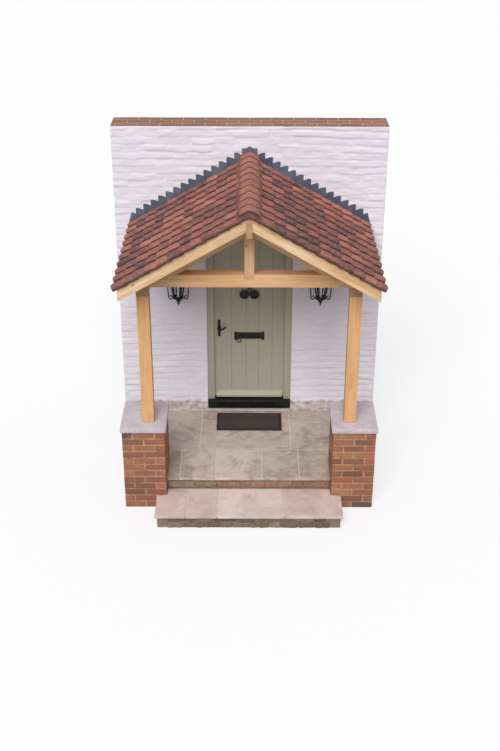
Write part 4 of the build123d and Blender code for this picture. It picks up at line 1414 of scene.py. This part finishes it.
panes, candles = Shape(), Shape()
for side, node in ((-1, "left_lantern"), (1, "right_lantern")):
    iron, middle = Shape(), side * lantern_x
    lantern(iron, middle)
    plate_front = wall_front - backplate_thickness
    plate = (middle, lantern_foot + 0.07, backplate_half, backplate_rise, plate_front, wall_front)
    round_ended_plate(iron, *plate)
    iron.piece(f"{node}_iron", black_iron, [node], smooth=35)
    low_half, high_half = foot_half - bar, eaves_half - bar
    low_z, high_z = lantern_foot + bar * 1.5, lantern_foot + lantern_rise - bar * 1.5
    for a, b in spans(*corners, corners[0]):
        places = ((a, low_half, low_z), (b, low_half, low_z), (b, high_half, high_z), (a, high_half, high_z))
        panes.rings([
            [(middle + p * (half - inset), lantern_y + q * (half - inset), z) for (p, q), half, z in places]
            for inset in (0.0, pane_thickness)
        ], way=-1)
    tube = [(middle, lantern_y, lantern_foot + up) for up in (0.0, 0.085, 0.0851, 0.1, 0.118, 0.135)]
    rod(candles, tube, [0.011, 0.011, 0.008, 0.014, 0.012, 0.003], 14)
panes.piece("lantern_panes", glass, ["lantern_glass"])
candles.piece("lantern_candles", candle, smooth=40)


# Doormat
# Dark brown coir pile inside a flat woven border, loose on the landing in front of the threshold.
mat_border = 0.03
pile_cell = 0.006
pile_wear, rim_drop, border_drop = 0.0035, 0.005, 0.006
tufts = (180, 4, 0.7)
coir = coated(
    "coir", (0.055, 0.032, 0.025), 0.95, (0.022, 0.012, 0.01), (tufts, 0.3, 0.7, 1, (0.075, 0.045, 0.036)),
    ((5, 4), 0.4, 0.7, 0.4, (0.075, 0.05, 0.041)), rough=(tufts, 0.004),
)
border = coated(
    "mat_border", (0.026, 0.018, 0.015), 0.9, (0.008, 0.006, 0.005),
    ((140, 3), 0, 1, 1, (0.022, 0.015, 0.013)),
)
mat_low, mat_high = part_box("doormat")
x0, x1, y0, y1 = mat_low.x, mat_high.x, mat_low.y, mat_high.y
in_x0, in_x1, in_y0, in_y1 = x0 + mat_border, x1 - mat_border, y0 + mat_border, y1 - mat_border
mat_edge = Shape()
for a, b, c, d in (
    (x0, x1, y0, in_y0), (x0, x1, in_y1, y1), (x0, in_x0, in_y0, in_y1), (in_x1, x1, in_y0, in_y1),
):
    mat_edge.block((a, c, mat_low.z), (b, d, mat_high.z - border_drop), bed_arris)
mat_edge.piece("doormat_border", border, smooth=40)
across_count = round((in_x1 - in_x0) / pile_cell)
deep_count = round((in_y1 - in_y0) / pile_cell)
seed(3)
points = []
for j, i in product(range(deep_count + 1), range(across_count + 1)):
    rim = i in (0, across_count) or j in (0, deep_count)
    x, y = in_x0 + (in_x1 - in_x0) * i / across_count, in_y0 + (in_y1 - in_y0) * j / deep_count
    points.append((x, y, mat_high.z - (rim_drop if rim else uniform(0, pile_wear))))
row = across_count + 1
starts = [j * row + i for j in range(deep_count) for i in range(across_count)]
cells = [(a, a + 1, a + row + 1, a + row) for a in starts]
faces = boxed(points, cells, lambda point: (point[0], point[1], mat_low.z))[1]
make_piece("doormat_pile", (points, faces), coir, ["doormat"])


# Floor, light and camera
# A wide pale floor, an even grey sky with one soft lamp from the front, and a camera high in front of
# the porch that looks down at it.
floor_reach = 90
floor_tone = 0.36
floor_white = 0.62
sky_colour = (0.9, 0.94, 1.0)
sky_strength = 0.44
sun_strength = 2.75
camera_place = (0.0086, -10.3341, 6.6959)
camera_down = radians(28.216)
camera_roll = radians(0.145)
focal_length = 53.99

mesh = bpy.data.meshes.new("floor")
corners = square(-floor_reach, floor_reach, -floor_reach, floor_reach)
mesh.from_pydata([(x, y, 0) for x, y in corners], [], [(0, 1, 2, 3)])
floor = put("floor", mesh)
pale_floor = Finish("pale_floor", (floor_tone, floor_tone, floor_tone), 0.95, 0.0)
pale_floor.feed(pale_floor.inputs["Emission Color"], (1.0, 1.0, 1.0))
pale_floor.feed(
    pale_floor.inputs["Emission Strength"], pale_floor.reckon("MULTIPLY", pale_floor.looked_at(), floor_white)
)
mesh.materials.append(pale_floor.material)

world = bpy.data.worlds.new("sky")
bpy.context.scene.world = world
world.use_nodes = True
sky = Shading(world.node_tree)
daylit = world.node_tree.nodes["Background"]
daylit.inputs["Color"].default_value = (*sky_colour, 1)
daylit.inputs["Strength"].default_value = sky_strength
backdrop = sky.add("Background", (1, 1, 1), 1)
choice = sky.add("MixShader", sky.looked_at(), daylit.outputs["Background"], backdrop.outputs["Background"])
sky.feed(world.node_tree.nodes["World Output"].inputs["Surface"], choice.outputs["Shader"])

lamp = bpy.data.lights.new("daylight", "SUN")
lamp.energy = sun_strength
lamp.angle = radians(40)
lamp.color = (1.0, 0.985, 0.96)
put("daylight", lamp).rotation_euler = (radians(45), radians(-10), 0)

view = bpy.data.cameras.new("camera")
view.sensor_width = 36
view.lens = focal_length
view.clip_end = 300
camera = put("camera", view)
camera.location = camera_place
aim = Matrix.Rotation(pi / 2 - camera_down, 3, "X") @ Matrix.Rotation(camera_roll, 3, "Z")
camera.rotation_euler = aim.to_euler()
bpy.context.scene.camera = camera
bpy.context.scene.view_settings.view_transform = "Standard"
